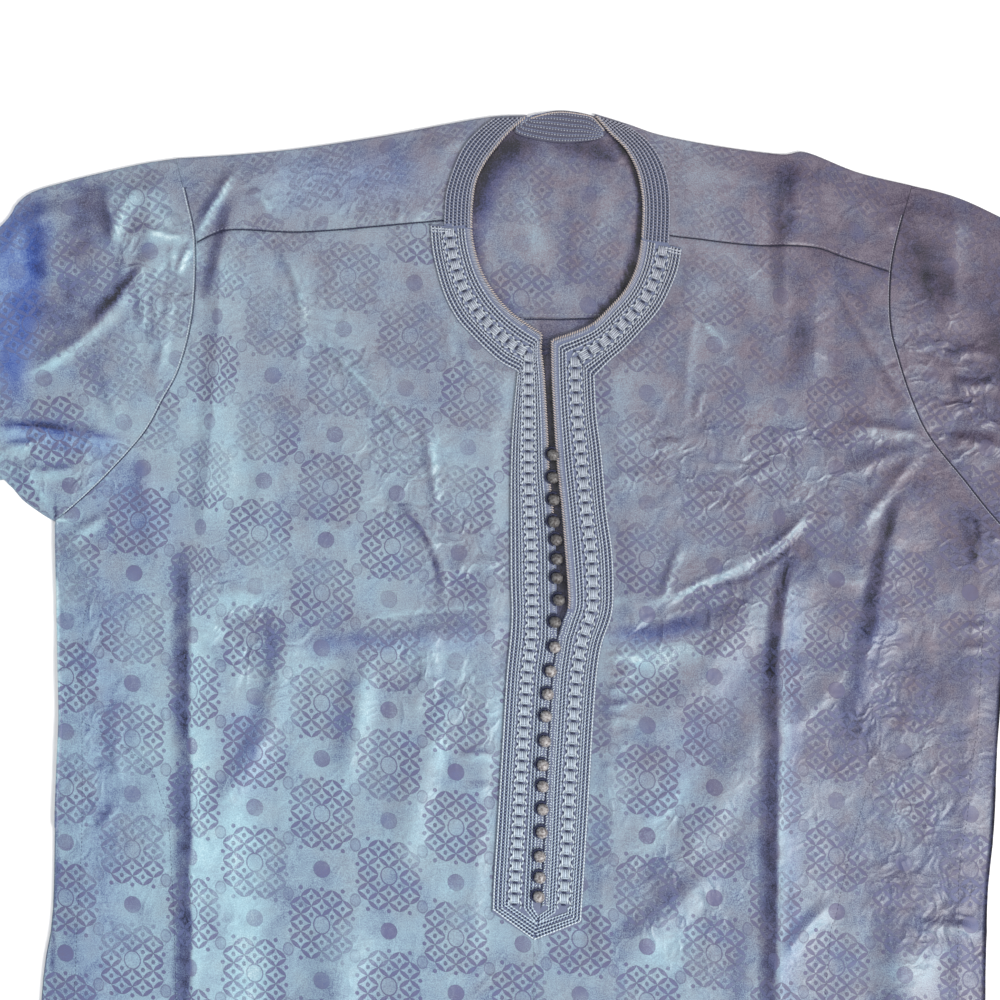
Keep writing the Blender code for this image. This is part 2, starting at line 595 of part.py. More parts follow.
def front_rows(name):
    """The rows of one half: lists of spots from the slit to the side."""
    seam, made = FRONT_SEAM[name], []
    for index, (inner_y, trim_y) in enumerate(levels_of(ROWS[name])):
        if index <= ROWS_TO_UNDERARM:
            outer = BODY_HOLE[name][YOKE_STEPS + index]
        else:
            outer = Spot(x_at(SIDE[name], trim_y), trim_y)
        inner = Spot(x_at(CENTRE if inner_y <= SLIT_END else INNER[name], inner_y), inner_y)
        trim = Spot(x_at(TRIM[name], min(trim_y, TRIM[name][0].y)), trim_y)
        if trim_y <= TRIM_TIP:
            trim = Spot(inner.x + (TRIM[name][-1].x - TIP.x), trim_y)
        if index == 0:
            trim = Spot(trim.x, y_at(seam, trim.x))
        pleat_x = x_at(PLEAT[name], (trim.y + outer.y) / 2.0)
        marks = column_marks(name, trim.x, outer.x, pleat_x)
        row = [inner, between(inner, trim, 0.5)] + [between(trim, outer, share) for share in marks]
        if index == 0:
            row = [Spot(spot.x, y_at(seam, spot.x)) for spot in row[:-1]] + [outer]
        made.append(row)
    return made


FRONT_ROWS = {"left": front_rows("left"), "right": front_rows("right")}


def front_panel():
    """Both halves of the front, joined below the slit."""
    top, under, quads = {}, {}, []
    for name, rows in FRONT_ROWS.items():
        keys = [
            [("middle" if j == 0 and row[0].y <= SLIT_END else name, i, j) for j in range(len(row))]
            for i, row in enumerate(rows)
        ]
        for i, row in enumerate(rows):
            for j, spot in enumerate(row):
                y = spot.y - (GAP / 2.0 if i == 0 else 0.0)
                low = lift(spot.x, y)
                top[keys[i][j]] = (spot.x, y, low + CLOTH)
                under[keys[i][j]] = (spot.x, y, low)
        for above, below in zip(keys, keys[1:]):
            for j in range(len(above) - 1):
                quad = [above[j], below[j], below[j + 1], above[j + 1]]
                quads.append(quad if name == "right" else quad[::-1])
    wall("front_panel", top, under, quads)


def back_outline():
    """The back body, from the back yoke seam to the hem."""
    left, right = (
        [Spot(edge[0].x, edge[0].y - GAP / 2.0)] + edge[1:]
        for edge in (BODY_HOLE["left"][BACK_SEAM_STEP:], BODY_HOLE["right"][BACK_SEAM_STEP:])
    )
    side_left = [
        Spot(spot.x - BACK_PEEK * ease((PEEK_START - spot.y) / PEEK_LENGTH), spot.y)
        for spot in SIDE["left"]
    ]
    return left + side_left[1::2] + SIDE["right"][1::2][::-1] + right[::-1]


def shoulder_spots(name):
    """Spots on the shoulder fold from the neck to the armhole, one for each column of the front."""
    neck_low, arm_low = FRONT_ROWS[name][0][0], BODY_HOLE[name][YOKE_STEPS]
    spots = []
    for seam_spot in FRONT_ROWS[name][0]:
        share = (seam_spot.x - neck_low.x) / (arm_low.x - neck_low.x)
        x = between(INNER[name][0], BODY_HOLE[name][0], share).x
        spots.append(Spot(x, y_at(SHOULDER[name], x)))
    return spots


def yoke_back_outline():
    """The yoke's lower layer, from the back yoke seam to just short of the shoulder folds."""
    left, right = (
        edge[1:BACK_SEAM_STEP] + [Spot(edge[BACK_SEAM_STEP].x, edge[BACK_SEAM_STEP].y + GAP / 2.0)]
        for edge in (BODY_HOLE["left"], BODY_HOLE["right"])
    )
    shoulder_left, shoulder_right = (
        [Spot(spot.x, spot.y - GAP) for spot in shoulder_spots(name)] for name in ("left", "right")
    )
    return left[::-1] + shoulder_left[::-1] + smooth(BACK_NECK)[1:-1] + shoulder_right + right


def fold_path(fold):
    """Outer and inner points round a shoulder fold, from the lower layer to the upper one."""
    big, small = (UNDER + CLOTH) / 2.0, GAP / 2.0
    path = []
    for k in range(BEND_STEPS + 1):
        angle = math.pi * k / (BEND_STEPS + 1)
        reach, height = math.sin(angle), 1.0 - math.cos(angle)
        path.append((
            (fold.x, fold.y + big * reach, big * height),
            (fold.x, fold.y + small * reach, CLOTH + small * height),
        ))
    return path


def yoke_side(name):
    """One side of the yoke: round the shoulder fold and down its upper layer to the front seam."""
    seam_row, hole = FRONT_ROWS[name][0], BODY_HOLE[name]
    neck_top, neck_low, arm_top, arm_low = INNER[name][0], seam_row[0], hole[0], hole[YOKE_STEPS]
    outer, inner, quads = {}, {}, []
    for j, (seam_spot, fold) in enumerate(zip(seam_row, shoulder_spots(name))):
        share = (seam_spot.x - neck_low.x) / (arm_low.x - neck_low.x)
        near, far = between(neck_top, arm_top, share), between(neck_low, arm_low, share)
        path = fold_path(fold)
        for k in range(YOKE_STEPS + 1):
            t = k / YOKE_STEPS
            neck_y = neck_top.y + (neck_low.y - neck_top.y) * t
            straight = between(Spot(x_at(INNER[name], neck_y), neck_y), hole[k], share)
            x = straight.x + (1.0 - t) * (fold.x - near.x) + t * (seam_spot.x - far.x)
            y = straight.y + (1.0 - t) * (fold.y - near.y) + t * (seam_spot.y - far.y)
            y += GAP / 2.0 if k == YOKE_STEPS else 0.0
            path.append(((x, y, lift(x, y) + CLOTH), (x, y, lift(x, y))))
        for i, (out, back) in enumerate(path):
            outer[i, j], inner[i, j] = out, back
        if j > 0:
            quads += [[(i, j - 1), (i + 1, j - 1), (i + 1, j), (i, j)] for i in range(len(path) - 1)]
    wall(f"yoke_{name}", outer, inner, quads)


# ---- sleeves ------------------------------------------------------------------------------------

def rounded_edge(edge, next_in, bulge):
    """The point that rounds a tube's folded edge, halfway between its two layers."""
    spot, upper, lower = edge
    away = math.dist(spot, next_in[0])
    return (
        spot.x + (spot.x - next_in[0].x) / away * bulge,
        spot.y + (spot.y - next_in[0].y) / away * bulge,
        (upper + lower) / 2.0,
    )


def sleeve(name):
    """One flattened tube, open at the armhole and at the cuff."""
    hole, last = SLEEVE_HOLE[name], len(HOLE[name]) - 1
    lengths = [math.dist(a, b) for a, b in zip(hole, hole[1:])]
    shares = [sum(lengths[:k]) / sum(lengths) for k in range(last + 1)]
    outer, inner, quads = {}, {}, []
    for i in range(SLEEVE_STATIONS + 1):
        t = (i / SLEEVE_STATIONS) ** SLEEVE_CROWDING
        top, low = along(SLEEVE_TOP[name], t), along(SLEEVE_LOW[name], t)
        bow = ease(1.0 - t * SEAM_REACH)
        ring_out, ring_in = [], []
        for k, share in enumerate(shares):
            chord = between(hole[0], hole[last], share)
            straight = between(top, low, share)
            spot = Spot(
                straight.x + bow * (hole[k].x - chord.x),
                straight.y + bow * (hole[k].y - chord.y),
            )
            if i == 0:
                spot = hole[k]
            height = lift(spot.x, spot.y)
            ring_out.append((spot, height + CLOTH, 0.0))
            ring_in.append((spot, height, CLOTH))
        layers = (
            (outer, ring_out, (UNDER + CLOTH) / 2.0),
            (inner, ring_in, GAP / 2.0),
        )
        for points, ring, bulge in layers:
            loop = [rounded_edge(ring[0], ring[1], bulge)]
            loop += [(spot.x, spot.y, upper) for spot, upper, _ in ring]
            loop.append(rounded_edge(ring[-1], ring[-2], bulge))
            loop += [(spot.x, spot.y, lower) for spot, _, lower in ring[::-1]]
            for k, point in enumerate(loop):
                points[i, k] = point
            around = len(loop)
    for i in range(SLEEVE_STATIONS):
        for k in range(around):
            n = (k + 1) % around
            quads.append([(i, k), (i + 1, k), (i + 1, n), (i, n)])
    return wall(f"sleeve_{name}", outer, inner, quads)


# ---- braid, buttons and bags --------------------------------------------------------------------

def braid_ring(inner, outer, ribs):
    """One cross-section of braid: raised rows on top, plain below."""
    ring = []
    for rib in ribs:
        spot = between(outer, inner, rib.across)
        ring.append((spot.x, spot.y, braid_floor(spot) + BRAID + rib.rise))
    ring.append((inner.x, inner.y, braid_floor(inner)))
    ring.append((outer.x, outer.y, braid_floor(outer)))
    return ring


def braid_floor(spot):
    return lift(spot.x, spot.y) + CLOTH + GAP


def spaced(levels, step):
    """Cross-sections between pairs of y levels, about one step apart."""
    made = []
    for (inner_a, outer_a), (inner_b, outer_b) in zip(levels, levels[1:]):
        reach = max(abs(inner_b - inner_a), abs(outer_b - outer_a))
        count = max(1, round(reach / step))
        for k in range(count):
            t = k / count
            made.append((inner_a + (inner_b - inner_a) * t, outer_a + (outer_b - outer_a) * t))
    made.append(levels[-1])
    return made


def trim(name):
    """Wide braid round the front of the neck and down one edge of the slit, to the shared tip."""
    way = -1.0 if name == "left" else 1.0
    corner = TRIM[name][-1]
    levels = [
        TRIM_START[name], TRIM_QUARTER, *[(row.inner, row.trim) for row in ROWS[name][1:3]],
        *[(rise.y, rise.y) for rise in CURL], (SLIT_END, corner.y),
    ]
    rings = []
    for inner_y, outer_y in spaced(levels, TRIM_STEP):
        inner = Spot(x_at(INNER[name], inner_y), inner_y)
        outer = Spot(x_at(TRIM[name], outer_y), outer_y)
        rings.append(braid_ring(inner, outer, WIDE_BRAID))
    end_inner = Spot(CLOSED_SLIT[-1].x + way * CLOSED_GAP, SLIT_END)
    tip = Spot(TIP.x + way * GAP / 2.0, TIP.y)
    shorter = between(end_inner, tip, 0.5)
    rings.append(braid_ring(shorter, between(corner, tip, 0.5), WIDE_BRAID))
    rings.append(braid_ring(between(end_inner, tip, 0.86), between(corner, tip, 0.97), WIDE_BRAID))
    return loft(f"trim_{name}", rings, "braid")


def neck_band(name):
    """Narrow braid on the yoke, from the shoulder fold to the wide braid."""
    start_inner, start_outer = BAND_START[name]
    end_inner, end_outer = INNER[name][0].y - 0.6, BAND[name][0].y - 0.6
    rings = []
    for inner_y, outer_y in spaced([(end_inner, end_outer), (start_inner, start_outer)], 8.0):
        inner = Spot(x_at(INNER[name], inner_y), inner_y)
        outer = Spot(x_at(BAND[name], outer_y), outer_y)
        rings.append(braid_ring(inner, outer, NARROW_BRAID))
    return loft(f"neck_band_{name}", rings, "braid")


def button(index, spot):
    """A ball with a flat foot, seated on the braid over the slit's edge."""
    bm = bmesh.new()
    bmesh.ops.create_uvsphere(bm, u_segments=8, v_segments=6, radius=BUTTON_RADIUS)
    cut = bmesh.ops.bisect_plane(
        bm, geom=bm.verts[:] + bm.edges[:] + bm.faces[:], plane_co=(0.0, 0.0, BUTTON_SEAT),
        plane_no=(0.0, 0.0, -1.0), clear_outer=True,
    )["geom_cut"]
    bmesh.ops.contextual_create(bm, geom=[e for e in cut if isinstance(e, bmesh.types.BMEdge)])
    seat = BRAID_FLOOR + BRAID + max(rib.rise for rib in WIDE_BRAID) + GAP
    bmesh.ops.translate(bm, vec=(spot.x, spot.y, seat - BUTTON_SEAT), verts=bm.verts)
    return finish(bm, f"button_{index:02d}", "button_thread")


def centre_on_floor():
    """Moves every mesh so that the origin lies under the middle of the robe."""
    bpy.context.view_layer.update()
    corners = [
        vertex.co for made in robe.objects for vertex in made.data.vertices
    ]
    middle_x = (min(c.x for c in corners) + max(c.x for c in corners)) / 2.0
    middle_y = (min(c.y for c in corners) + max(c.y for c in corners)) / 2.0
    bottom = min(c.z for c in corners)
    for made in robe.objects:
        for vertex in made.data.vertices:
            vertex.co.x -= middle_x
            vertex.co.y -= middle_y
            vertex.co.z -= bottom
    print(f"neck point at x {-middle_x:.5f} y {-middle_y:.5f}")


for old in list(bpy.data.objects):
    bpy.data.objects.remove(old, do_unlink=True)
robe = bpy.data.collections.new("robe")
bpy.context.scene.collection.children.link(robe)

slab("back_panel", back_outline(), 0.0, CLOTH, "damask")
slab("yoke_back", yoke_back_outline(), 0.0, CLOTH, "damask")
front_panel()
for side_name in ("left", "right"):
    yoke_side(side_name)
    sleeve(side_name)
slab("pocket_bag_left", BAG_LEFT, UNDER, UNDER + BAG, "pocketing")
slab("pocket_bag_right", BAG_RIGHT, UNDER, UNDER + BAG, "pocketing")
slab("back_neck_band", BACK_BAND, UNDER, UNDER + BRAID, "braid")
for side_name in ("left", "right"):
    trim(side_name)
    neck_band(side_name)
for number, place in enumerate(BUTTONS, start=1):
    button(number, place)
centre_on_floor()
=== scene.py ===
import json
import math
from contextlib import contextmanager

import bmesh
import bpy
import numpy as np
from mathutils import Matrix, Vector, noise
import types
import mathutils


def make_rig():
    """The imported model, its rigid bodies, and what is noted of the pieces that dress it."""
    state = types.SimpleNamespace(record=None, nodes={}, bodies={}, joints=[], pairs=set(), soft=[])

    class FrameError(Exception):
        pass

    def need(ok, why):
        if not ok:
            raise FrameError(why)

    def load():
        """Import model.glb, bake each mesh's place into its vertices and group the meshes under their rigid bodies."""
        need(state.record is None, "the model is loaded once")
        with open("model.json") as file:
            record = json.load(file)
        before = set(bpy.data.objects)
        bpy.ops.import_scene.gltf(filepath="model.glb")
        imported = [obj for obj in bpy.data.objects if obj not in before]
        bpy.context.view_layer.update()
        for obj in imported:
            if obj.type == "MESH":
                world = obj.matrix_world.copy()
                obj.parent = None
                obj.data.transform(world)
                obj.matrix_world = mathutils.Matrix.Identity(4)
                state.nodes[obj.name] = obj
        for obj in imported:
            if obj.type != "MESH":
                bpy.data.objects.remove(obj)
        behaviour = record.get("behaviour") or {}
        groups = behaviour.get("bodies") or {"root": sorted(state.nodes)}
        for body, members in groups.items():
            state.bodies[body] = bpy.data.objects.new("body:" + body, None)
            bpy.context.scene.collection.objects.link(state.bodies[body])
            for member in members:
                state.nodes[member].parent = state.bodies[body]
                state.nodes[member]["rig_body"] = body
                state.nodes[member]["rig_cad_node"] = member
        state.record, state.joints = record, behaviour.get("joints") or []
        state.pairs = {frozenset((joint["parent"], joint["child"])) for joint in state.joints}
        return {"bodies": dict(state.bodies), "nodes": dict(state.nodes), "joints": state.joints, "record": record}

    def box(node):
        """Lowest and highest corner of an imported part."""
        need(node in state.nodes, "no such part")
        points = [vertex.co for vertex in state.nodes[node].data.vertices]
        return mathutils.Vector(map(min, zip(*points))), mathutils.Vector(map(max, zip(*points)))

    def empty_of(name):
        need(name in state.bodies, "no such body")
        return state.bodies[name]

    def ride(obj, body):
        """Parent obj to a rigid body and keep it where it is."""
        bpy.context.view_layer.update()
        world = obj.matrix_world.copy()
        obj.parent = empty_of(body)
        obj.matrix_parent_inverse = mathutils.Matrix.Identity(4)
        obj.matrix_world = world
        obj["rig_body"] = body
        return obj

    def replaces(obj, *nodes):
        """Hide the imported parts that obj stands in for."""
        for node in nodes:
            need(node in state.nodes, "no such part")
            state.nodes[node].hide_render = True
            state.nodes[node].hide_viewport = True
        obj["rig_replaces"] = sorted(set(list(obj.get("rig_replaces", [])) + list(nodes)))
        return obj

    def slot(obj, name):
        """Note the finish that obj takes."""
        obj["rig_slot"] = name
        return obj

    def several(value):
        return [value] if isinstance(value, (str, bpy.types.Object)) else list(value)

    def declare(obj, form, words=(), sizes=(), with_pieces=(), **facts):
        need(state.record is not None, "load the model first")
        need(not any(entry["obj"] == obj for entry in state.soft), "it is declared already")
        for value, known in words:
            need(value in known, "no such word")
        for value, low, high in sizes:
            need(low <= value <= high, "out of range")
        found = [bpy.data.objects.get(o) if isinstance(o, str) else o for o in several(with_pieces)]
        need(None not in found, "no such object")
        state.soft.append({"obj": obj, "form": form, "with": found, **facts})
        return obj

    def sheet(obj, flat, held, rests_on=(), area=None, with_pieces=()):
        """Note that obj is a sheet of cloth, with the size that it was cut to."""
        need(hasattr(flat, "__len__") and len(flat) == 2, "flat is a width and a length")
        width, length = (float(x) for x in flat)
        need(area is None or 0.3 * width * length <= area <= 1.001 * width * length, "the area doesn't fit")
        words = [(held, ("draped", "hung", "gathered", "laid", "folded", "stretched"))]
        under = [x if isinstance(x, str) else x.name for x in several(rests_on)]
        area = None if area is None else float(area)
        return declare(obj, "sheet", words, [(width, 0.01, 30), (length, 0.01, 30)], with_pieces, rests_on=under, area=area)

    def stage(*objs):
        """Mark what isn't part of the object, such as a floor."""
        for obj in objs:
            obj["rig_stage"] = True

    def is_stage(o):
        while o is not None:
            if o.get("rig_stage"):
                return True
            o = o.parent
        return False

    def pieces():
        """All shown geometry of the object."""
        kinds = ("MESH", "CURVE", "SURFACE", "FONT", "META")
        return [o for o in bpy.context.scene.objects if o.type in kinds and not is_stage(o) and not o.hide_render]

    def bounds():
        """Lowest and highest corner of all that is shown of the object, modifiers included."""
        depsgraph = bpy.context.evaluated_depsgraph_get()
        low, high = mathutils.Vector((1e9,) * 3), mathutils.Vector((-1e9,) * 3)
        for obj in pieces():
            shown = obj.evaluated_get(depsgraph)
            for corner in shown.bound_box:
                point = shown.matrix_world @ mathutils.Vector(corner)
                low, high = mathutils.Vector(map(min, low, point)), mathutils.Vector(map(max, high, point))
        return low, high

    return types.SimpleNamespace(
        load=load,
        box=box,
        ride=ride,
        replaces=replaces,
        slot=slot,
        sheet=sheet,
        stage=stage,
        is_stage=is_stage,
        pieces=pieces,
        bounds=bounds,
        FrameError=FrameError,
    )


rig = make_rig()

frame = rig.load()
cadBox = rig.bounds()

# Lengths are millimetres from the front neck point: x across, y towards the neck, z up.
# The first button gives where that point is in the frame.
mm = 0.001
firstButton = (3.8, -87.8)
buttonLow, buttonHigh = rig.box("button_01")
neckX = (buttonLow.x + buttonHigh.x) / 2 / mm - firstButton[0]
neckY = (buttonLow.y + buttonHigh.y) / 2 / mm - firstButton[1]
ways = {"left": -1, "right": 1}      # the way of each half along x
linePieces = 6                       # steps from one spot of a line to the next

cloth = {
    "wall": 1.5,          # solid's own cloth
    "shell": 1.1,         # cloth as it is drawn
    "gap": 0.3,
    "hem": -1194.0,
    "cuff": 160.0,
    "edgeFade": 24.0,     # folds die out before a sewn or folded edge
    "trimFade": 16.0,     # and before the stiff braid
    "bandBlend": 16.0,    # from the trim's outer edge to the neck band's
    "tipKeep": 6.0,       # flat cloth below the braid's point
    "rest": 1.6,          # how far the loose cloth floats off the layer below
    "crumple": 0.75,      # fine uneven rise and fall; below, the size, seed and amount of its two kinds
    "crumpleWide": (46.0, 3.1, 1.4), "crumpleSmall": (19.0, 7.7, 0.35), "crumpleSkew": (0.9, 0.3),
}
cloth["under"] = cloth["wall"] + cloth["gap"]

armhole = {
    "left": [(-279, 133.5), (-271, 101), (-265.5, 70.5), (-267.5, 19), (-277.5, -21.8), (-290.5, -47),
             (-304, -71), (-329, -99.5), (-348, -118), (-369, -136.5)],
    "right": [(273, 113.2), (263, 80), (257.2, 49.5), (256.8, 12), (263, -16), (273, -46.5),
              (286.5, -74.2), (312.8, -107), (331, -130), (350.2, -151.5)],
}
frontSeamMark, backSeamMark = 2, 3      # the armhole spots where the yoke's two seams end
shoulder = {
    "left": [(-15.8, 166), (-41.2, 165), (-77.2, 159), (-126, 150), (-186, 141), (-231, 136.5),
             (-279, 133.5)],
    "right": [(35.2, 167), (60.8, 159), (85.5, 150.8), (129, 142.5), (175.5, 136.5), (194.2, 138),
              (232.5, 123), (273, 113.2)],
}
backNeck = [(-15.8, 166), (-3, 169.6), (9, 171.2), (22, 170), (35.2, 167)]
frontSeam = {
    "left": [(-57.2, 89.5), (-78.8, 88.5), (-126, 84), (-186, 79.5), (-238.5, 81), (-265.5, 70.5)],
    "right": [(70.6, 80.4), (101.2, 75.8), (152.2, 69.8), (198, 68.2), (221.2, 60.8), (257.2, 49.5)],
}
neckEdge = {
    "left": [(-15.8, 166), (-28.5, 155.2), (-38.2, 144), (-48, 130.5), (-54.8, 114.8), (-57.2, 91.5),
             (-56.2, 72), (-50.2, 51), (-39.8, 33), (-28.5, 20.2), (-15.8, 10.5), (-4.6, 3.4)],
    "right": [(35.2, 167), (46.5, 153.8), (57.8, 142.5), (66, 127.5), (69.8, 112.5), (71.2, 96.8),
              (69.8, 72), (66, 52.5), (57.8, 36), (46.5, 23.2), (33, 10.5), (16, 3), (2.5, -1)],
}
slitEdge = {
    "left": [(-4.6, 3.4), (-5.2, -8.2), (-3, -29.2), (-0.4, -72.8), (0.8, -101.2), (3.8, -129.8),
             (6, -159), (6.4, -187.5), (6.8, -208.5), (6.6, -222)],
    "right": [(2.5, -1), (3, -29.2), (4.5, -58.5), (6.8, -93.8), (10.5, -129.8), (12.8, -159),
              (15, -187.5), (15, -201.8), (11.2, -212.2), (8.4, -222)],
}
closedSlit = [(7.5, -222), (5.2, -237.8), (3, -254.2), (0.8, -294), (-1.5, -336), (-3, -378), (-5.2, -426)]
closedGap = 0.4
trimNeck = {
    "left": [(-88.5, 84.4), (-86.2, 62.2), (-78.8, 34.5), (-69, 15), (-57.8, 2.2), (-45, -10.5),
             (-35.2, -18.8), (-22.6, -25.3)],
    "right": [(100.5, 66.8), (97.5, 51), (91.5, 36), (84, 21.8), (72, 7.5), (57.8, -7.5),
              (46.5, -17.2), (35.2, -29)],
}
trimSlit = {
    "left": [(-22.6, -25.3), (-26.2, -58.5), (-28.2, -100), (-28.5, -173.2), (-27.8, -211.5),
             (-31.5, -254.2), (-34.9, -309), (-38.2, -363), (-41.2, -408.8), (-42, -430.5)],
    "right": [(35.2, -29), (36.8, -58.5), (40.5, -87), (44.2, -129.8), (48.4, -159), (49.5, -187.5),
              (48, -208), (40.5, -230), (36.8, -254.2), (34, -290.2), (30.8, -345), (28, -390),
              (24.8, -439.5)],
}
trimTip = (-10.5, -451.5)
bandEdge = {
    "left": [(-39.8, 165), (-52.5, 155.2), (-63.8, 142.5), (-72, 124), (-76.5, 108), (-77.6, 95.2),
             (-78, 85.2)],
    "right": [(55, 160.8), (69, 152.6), (79.5, 142), (87, 128), (90.8, 112.5), (91.5, 95.2), (91, 80),
              (90.4, 70.6)],
}
bandStart = {"left": (82.6, 85.2), "right": (74.4, 70.6)}
trimStart = {"left": (81.6, 84.4), "right": (73.4, 66.8)}
backBand = [(-14.6, 165), (-2.8, 168.6), (9, 170.2), (21.8, 169), (34, 165.8), (43.8, 154), (36.8, 149.2),
            (22, 147.2), (9, 146.8), (-9, 149.2), (-25.4, 155)]
side = {
    "left": [(-369, -136.5), (-367.5, -217.5), (-366, -284.2), (-368.6, -343.5), (-370.5, -432),
             (-379, -496.5), (-388, -700), (-398, -950), (-405, -1194)],
    "right": [(350.2, -151.5), (343, -215), (337, -290), (333, -368.2), (328, -430), (327, -560),
              (332, -780), (340, -1000), (346, -1194)],
}
hemCentre = (-24, -1194)
pleat = {
    "left": [(-244.5, 100), (-250.5, -50), (-260, -157), (-267.8, -250), (-269.5, -500), (-274, -1194)],
    "right": [(187, 100), (189, -46.5), (179.2, -166.5), (173.5, -280), (168, -400), (165, -600),
              (158, -1194)],
}
curl = [(-89.5, 0), (-120.5, 1.0), (-151.5, 2.4), (-175, 2.8), (-198.5, 1.8), (-222, 0)]  # y, rise
sleeveTop = {
    "left": [(-279, 133.5), (-303.8, 129.8), (-334.5, 123), (-361.5, 116.2), (-386.2, 108.8),
             (-398.5, 100), (-412, 82), (-470, 37), (-600, -50), (-745, -148)],
    "right": [(273, 113.2), (305.2, 105), (339, 90), (420, 48), (560, -32), (757, -146)],
}
sleeveLow = {
    "left": [(-369, -136.5), (-377.2, -132), (-393, -120.8), (-404, -109), (-416, -107), (-470, -143),
             (-560, -210)],
    "right": [(350.2, -151.5), (420, -180), (560, -238)],
}
cuffTurn = {"left": 305.0, "right": -120.0}      # from the cuff's upper corner to its lower one
buttons = [
    firstButton, (3.8, -105), (4.5, -121.5), (4.5, -138), (6.2, -151.5), (6.8, -165.8), (6.8, -180),
    (8.2, -196.5), (5.4, -213), (5.2, -231.8), (2.2, -249.8), (0, -267), (-1.5, -283.5), (-2.2, -302.2),
    (-3.8, -320.2), (-3.8, -336), (-3.8, -353.2), (-4.5, -370.5), (-6, -388.5), (-6, -404.2),
    (-6.8, -418.5),
]


def smoothLine(spots):
    # a line through every spot, curved between them
    spots = np.array(spots, float)
    padded = np.vstack([spots[:1], spots, spots[-1:]])
    a, b, c, d = padded[:-3], padded[1:-2], padded[2:-1], padded[3:]
    t = (np.arange(linePieces) / linePieces)[:, None, None]
    square, cube = (2 * a - 5 * b + 4 * c - d) * t**2, (3 * b - a - 3 * c + d) * t**3
    curve = 0.5 * (2 * b + (c - a) * t + square + cube)
    return np.vstack([curve.transpose(1, 0, 2).reshape(-1, 2), spots[-1:]])


def xAt(line, y):
    # for a line that runs downwards
    return np.interp(-np.asarray(y, float), -line[:, 1], line[:, 0])


def yAt(line, x):
    # for a line that runs to the right
    return np.interp(x, line[:, 0], line[:, 1])


def rightwards(line):
    return line if line[-1, 0] > line[0, 0] else line[::-1]


def alongLine(line, share):
    # points at shares of the line's length
    walked = np.concatenate([[0], np.cumsum(np.hypot(*np.diff(line, axis=0).T))])
    at = np.asarray(share) * walked[-1]
    return np.stack([np.interp(at, walked, line[:, 0]), np.interp(at, walked, line[:, 1])], -1)


def lineLength(line):
    return float(np.hypot(*np.diff(line, axis=0).T).sum())


def ease(t):
    t = np.clip(t, 0, 1)
    return t * t * (3 - 2 * t)


def mix(a, b, t):
    return a + (b - a) * t


inner, trimEdge, band, sideEdge, hole, pleatLine, topFold, lowFold = {}, {}, {}, {}, {}, {}, {}, {}
for name, way in ways.items():
    closed = smoothLine(closedSlit) + (way * closedGap, 0)
    inner[name] = np.vstack([smoothLine(neckEdge[name]), smoothLine(slitEdge[name]), closed])
    trimEdge[name] = np.vstack([smoothLine(trimNeck[name]), smoothLine(trimSlit[name])])
    band[name] = smoothLine(bandEdge[name])
    sideEdge[name] = smoothLine(side[name])
    hole[name] = smoothLine(armhole[name])
    pleatLine[name] = smoothLine(pleat[name])
    topFold[name] = smoothLine(sleeveTop[name])
    turn = math.radians(cuffTurn[name])
    cuffX, cuffY = sleeveTop[name][-1]
    cuffCorner = (cuffX + cloth["cuff"] * math.cos(turn), cuffY + cloth["cuff"] * math.sin(turn))
    lowFold[name] = smoothLine(sleeveLow[name] + [cuffCorner])
topLine = np.vstack([
    topFold["left"][::-1], smoothLine(shoulder["left"])[::-1], smoothLine(backNeck),
    smoothLine(shoulder["right"]), topFold["right"],
])
print("lines ready")


# Folds and painted shade and highlights are set out on a layout sheet of 0.75 mm steps: x to the right and y
# down from its corner. Each row is a stroke: start x y, middle x y, end x y on that sheet, then its amount, its
# spread in millimetres to the left and to the right of someone who walks along it, and how sharp its ridge is.
layout = {
    "step": 0.75, "frontPoint": (548, 338), "bends": 6,
    "endFade": 60.0, "endShare": 0.15, "ridge": 1.35,
}

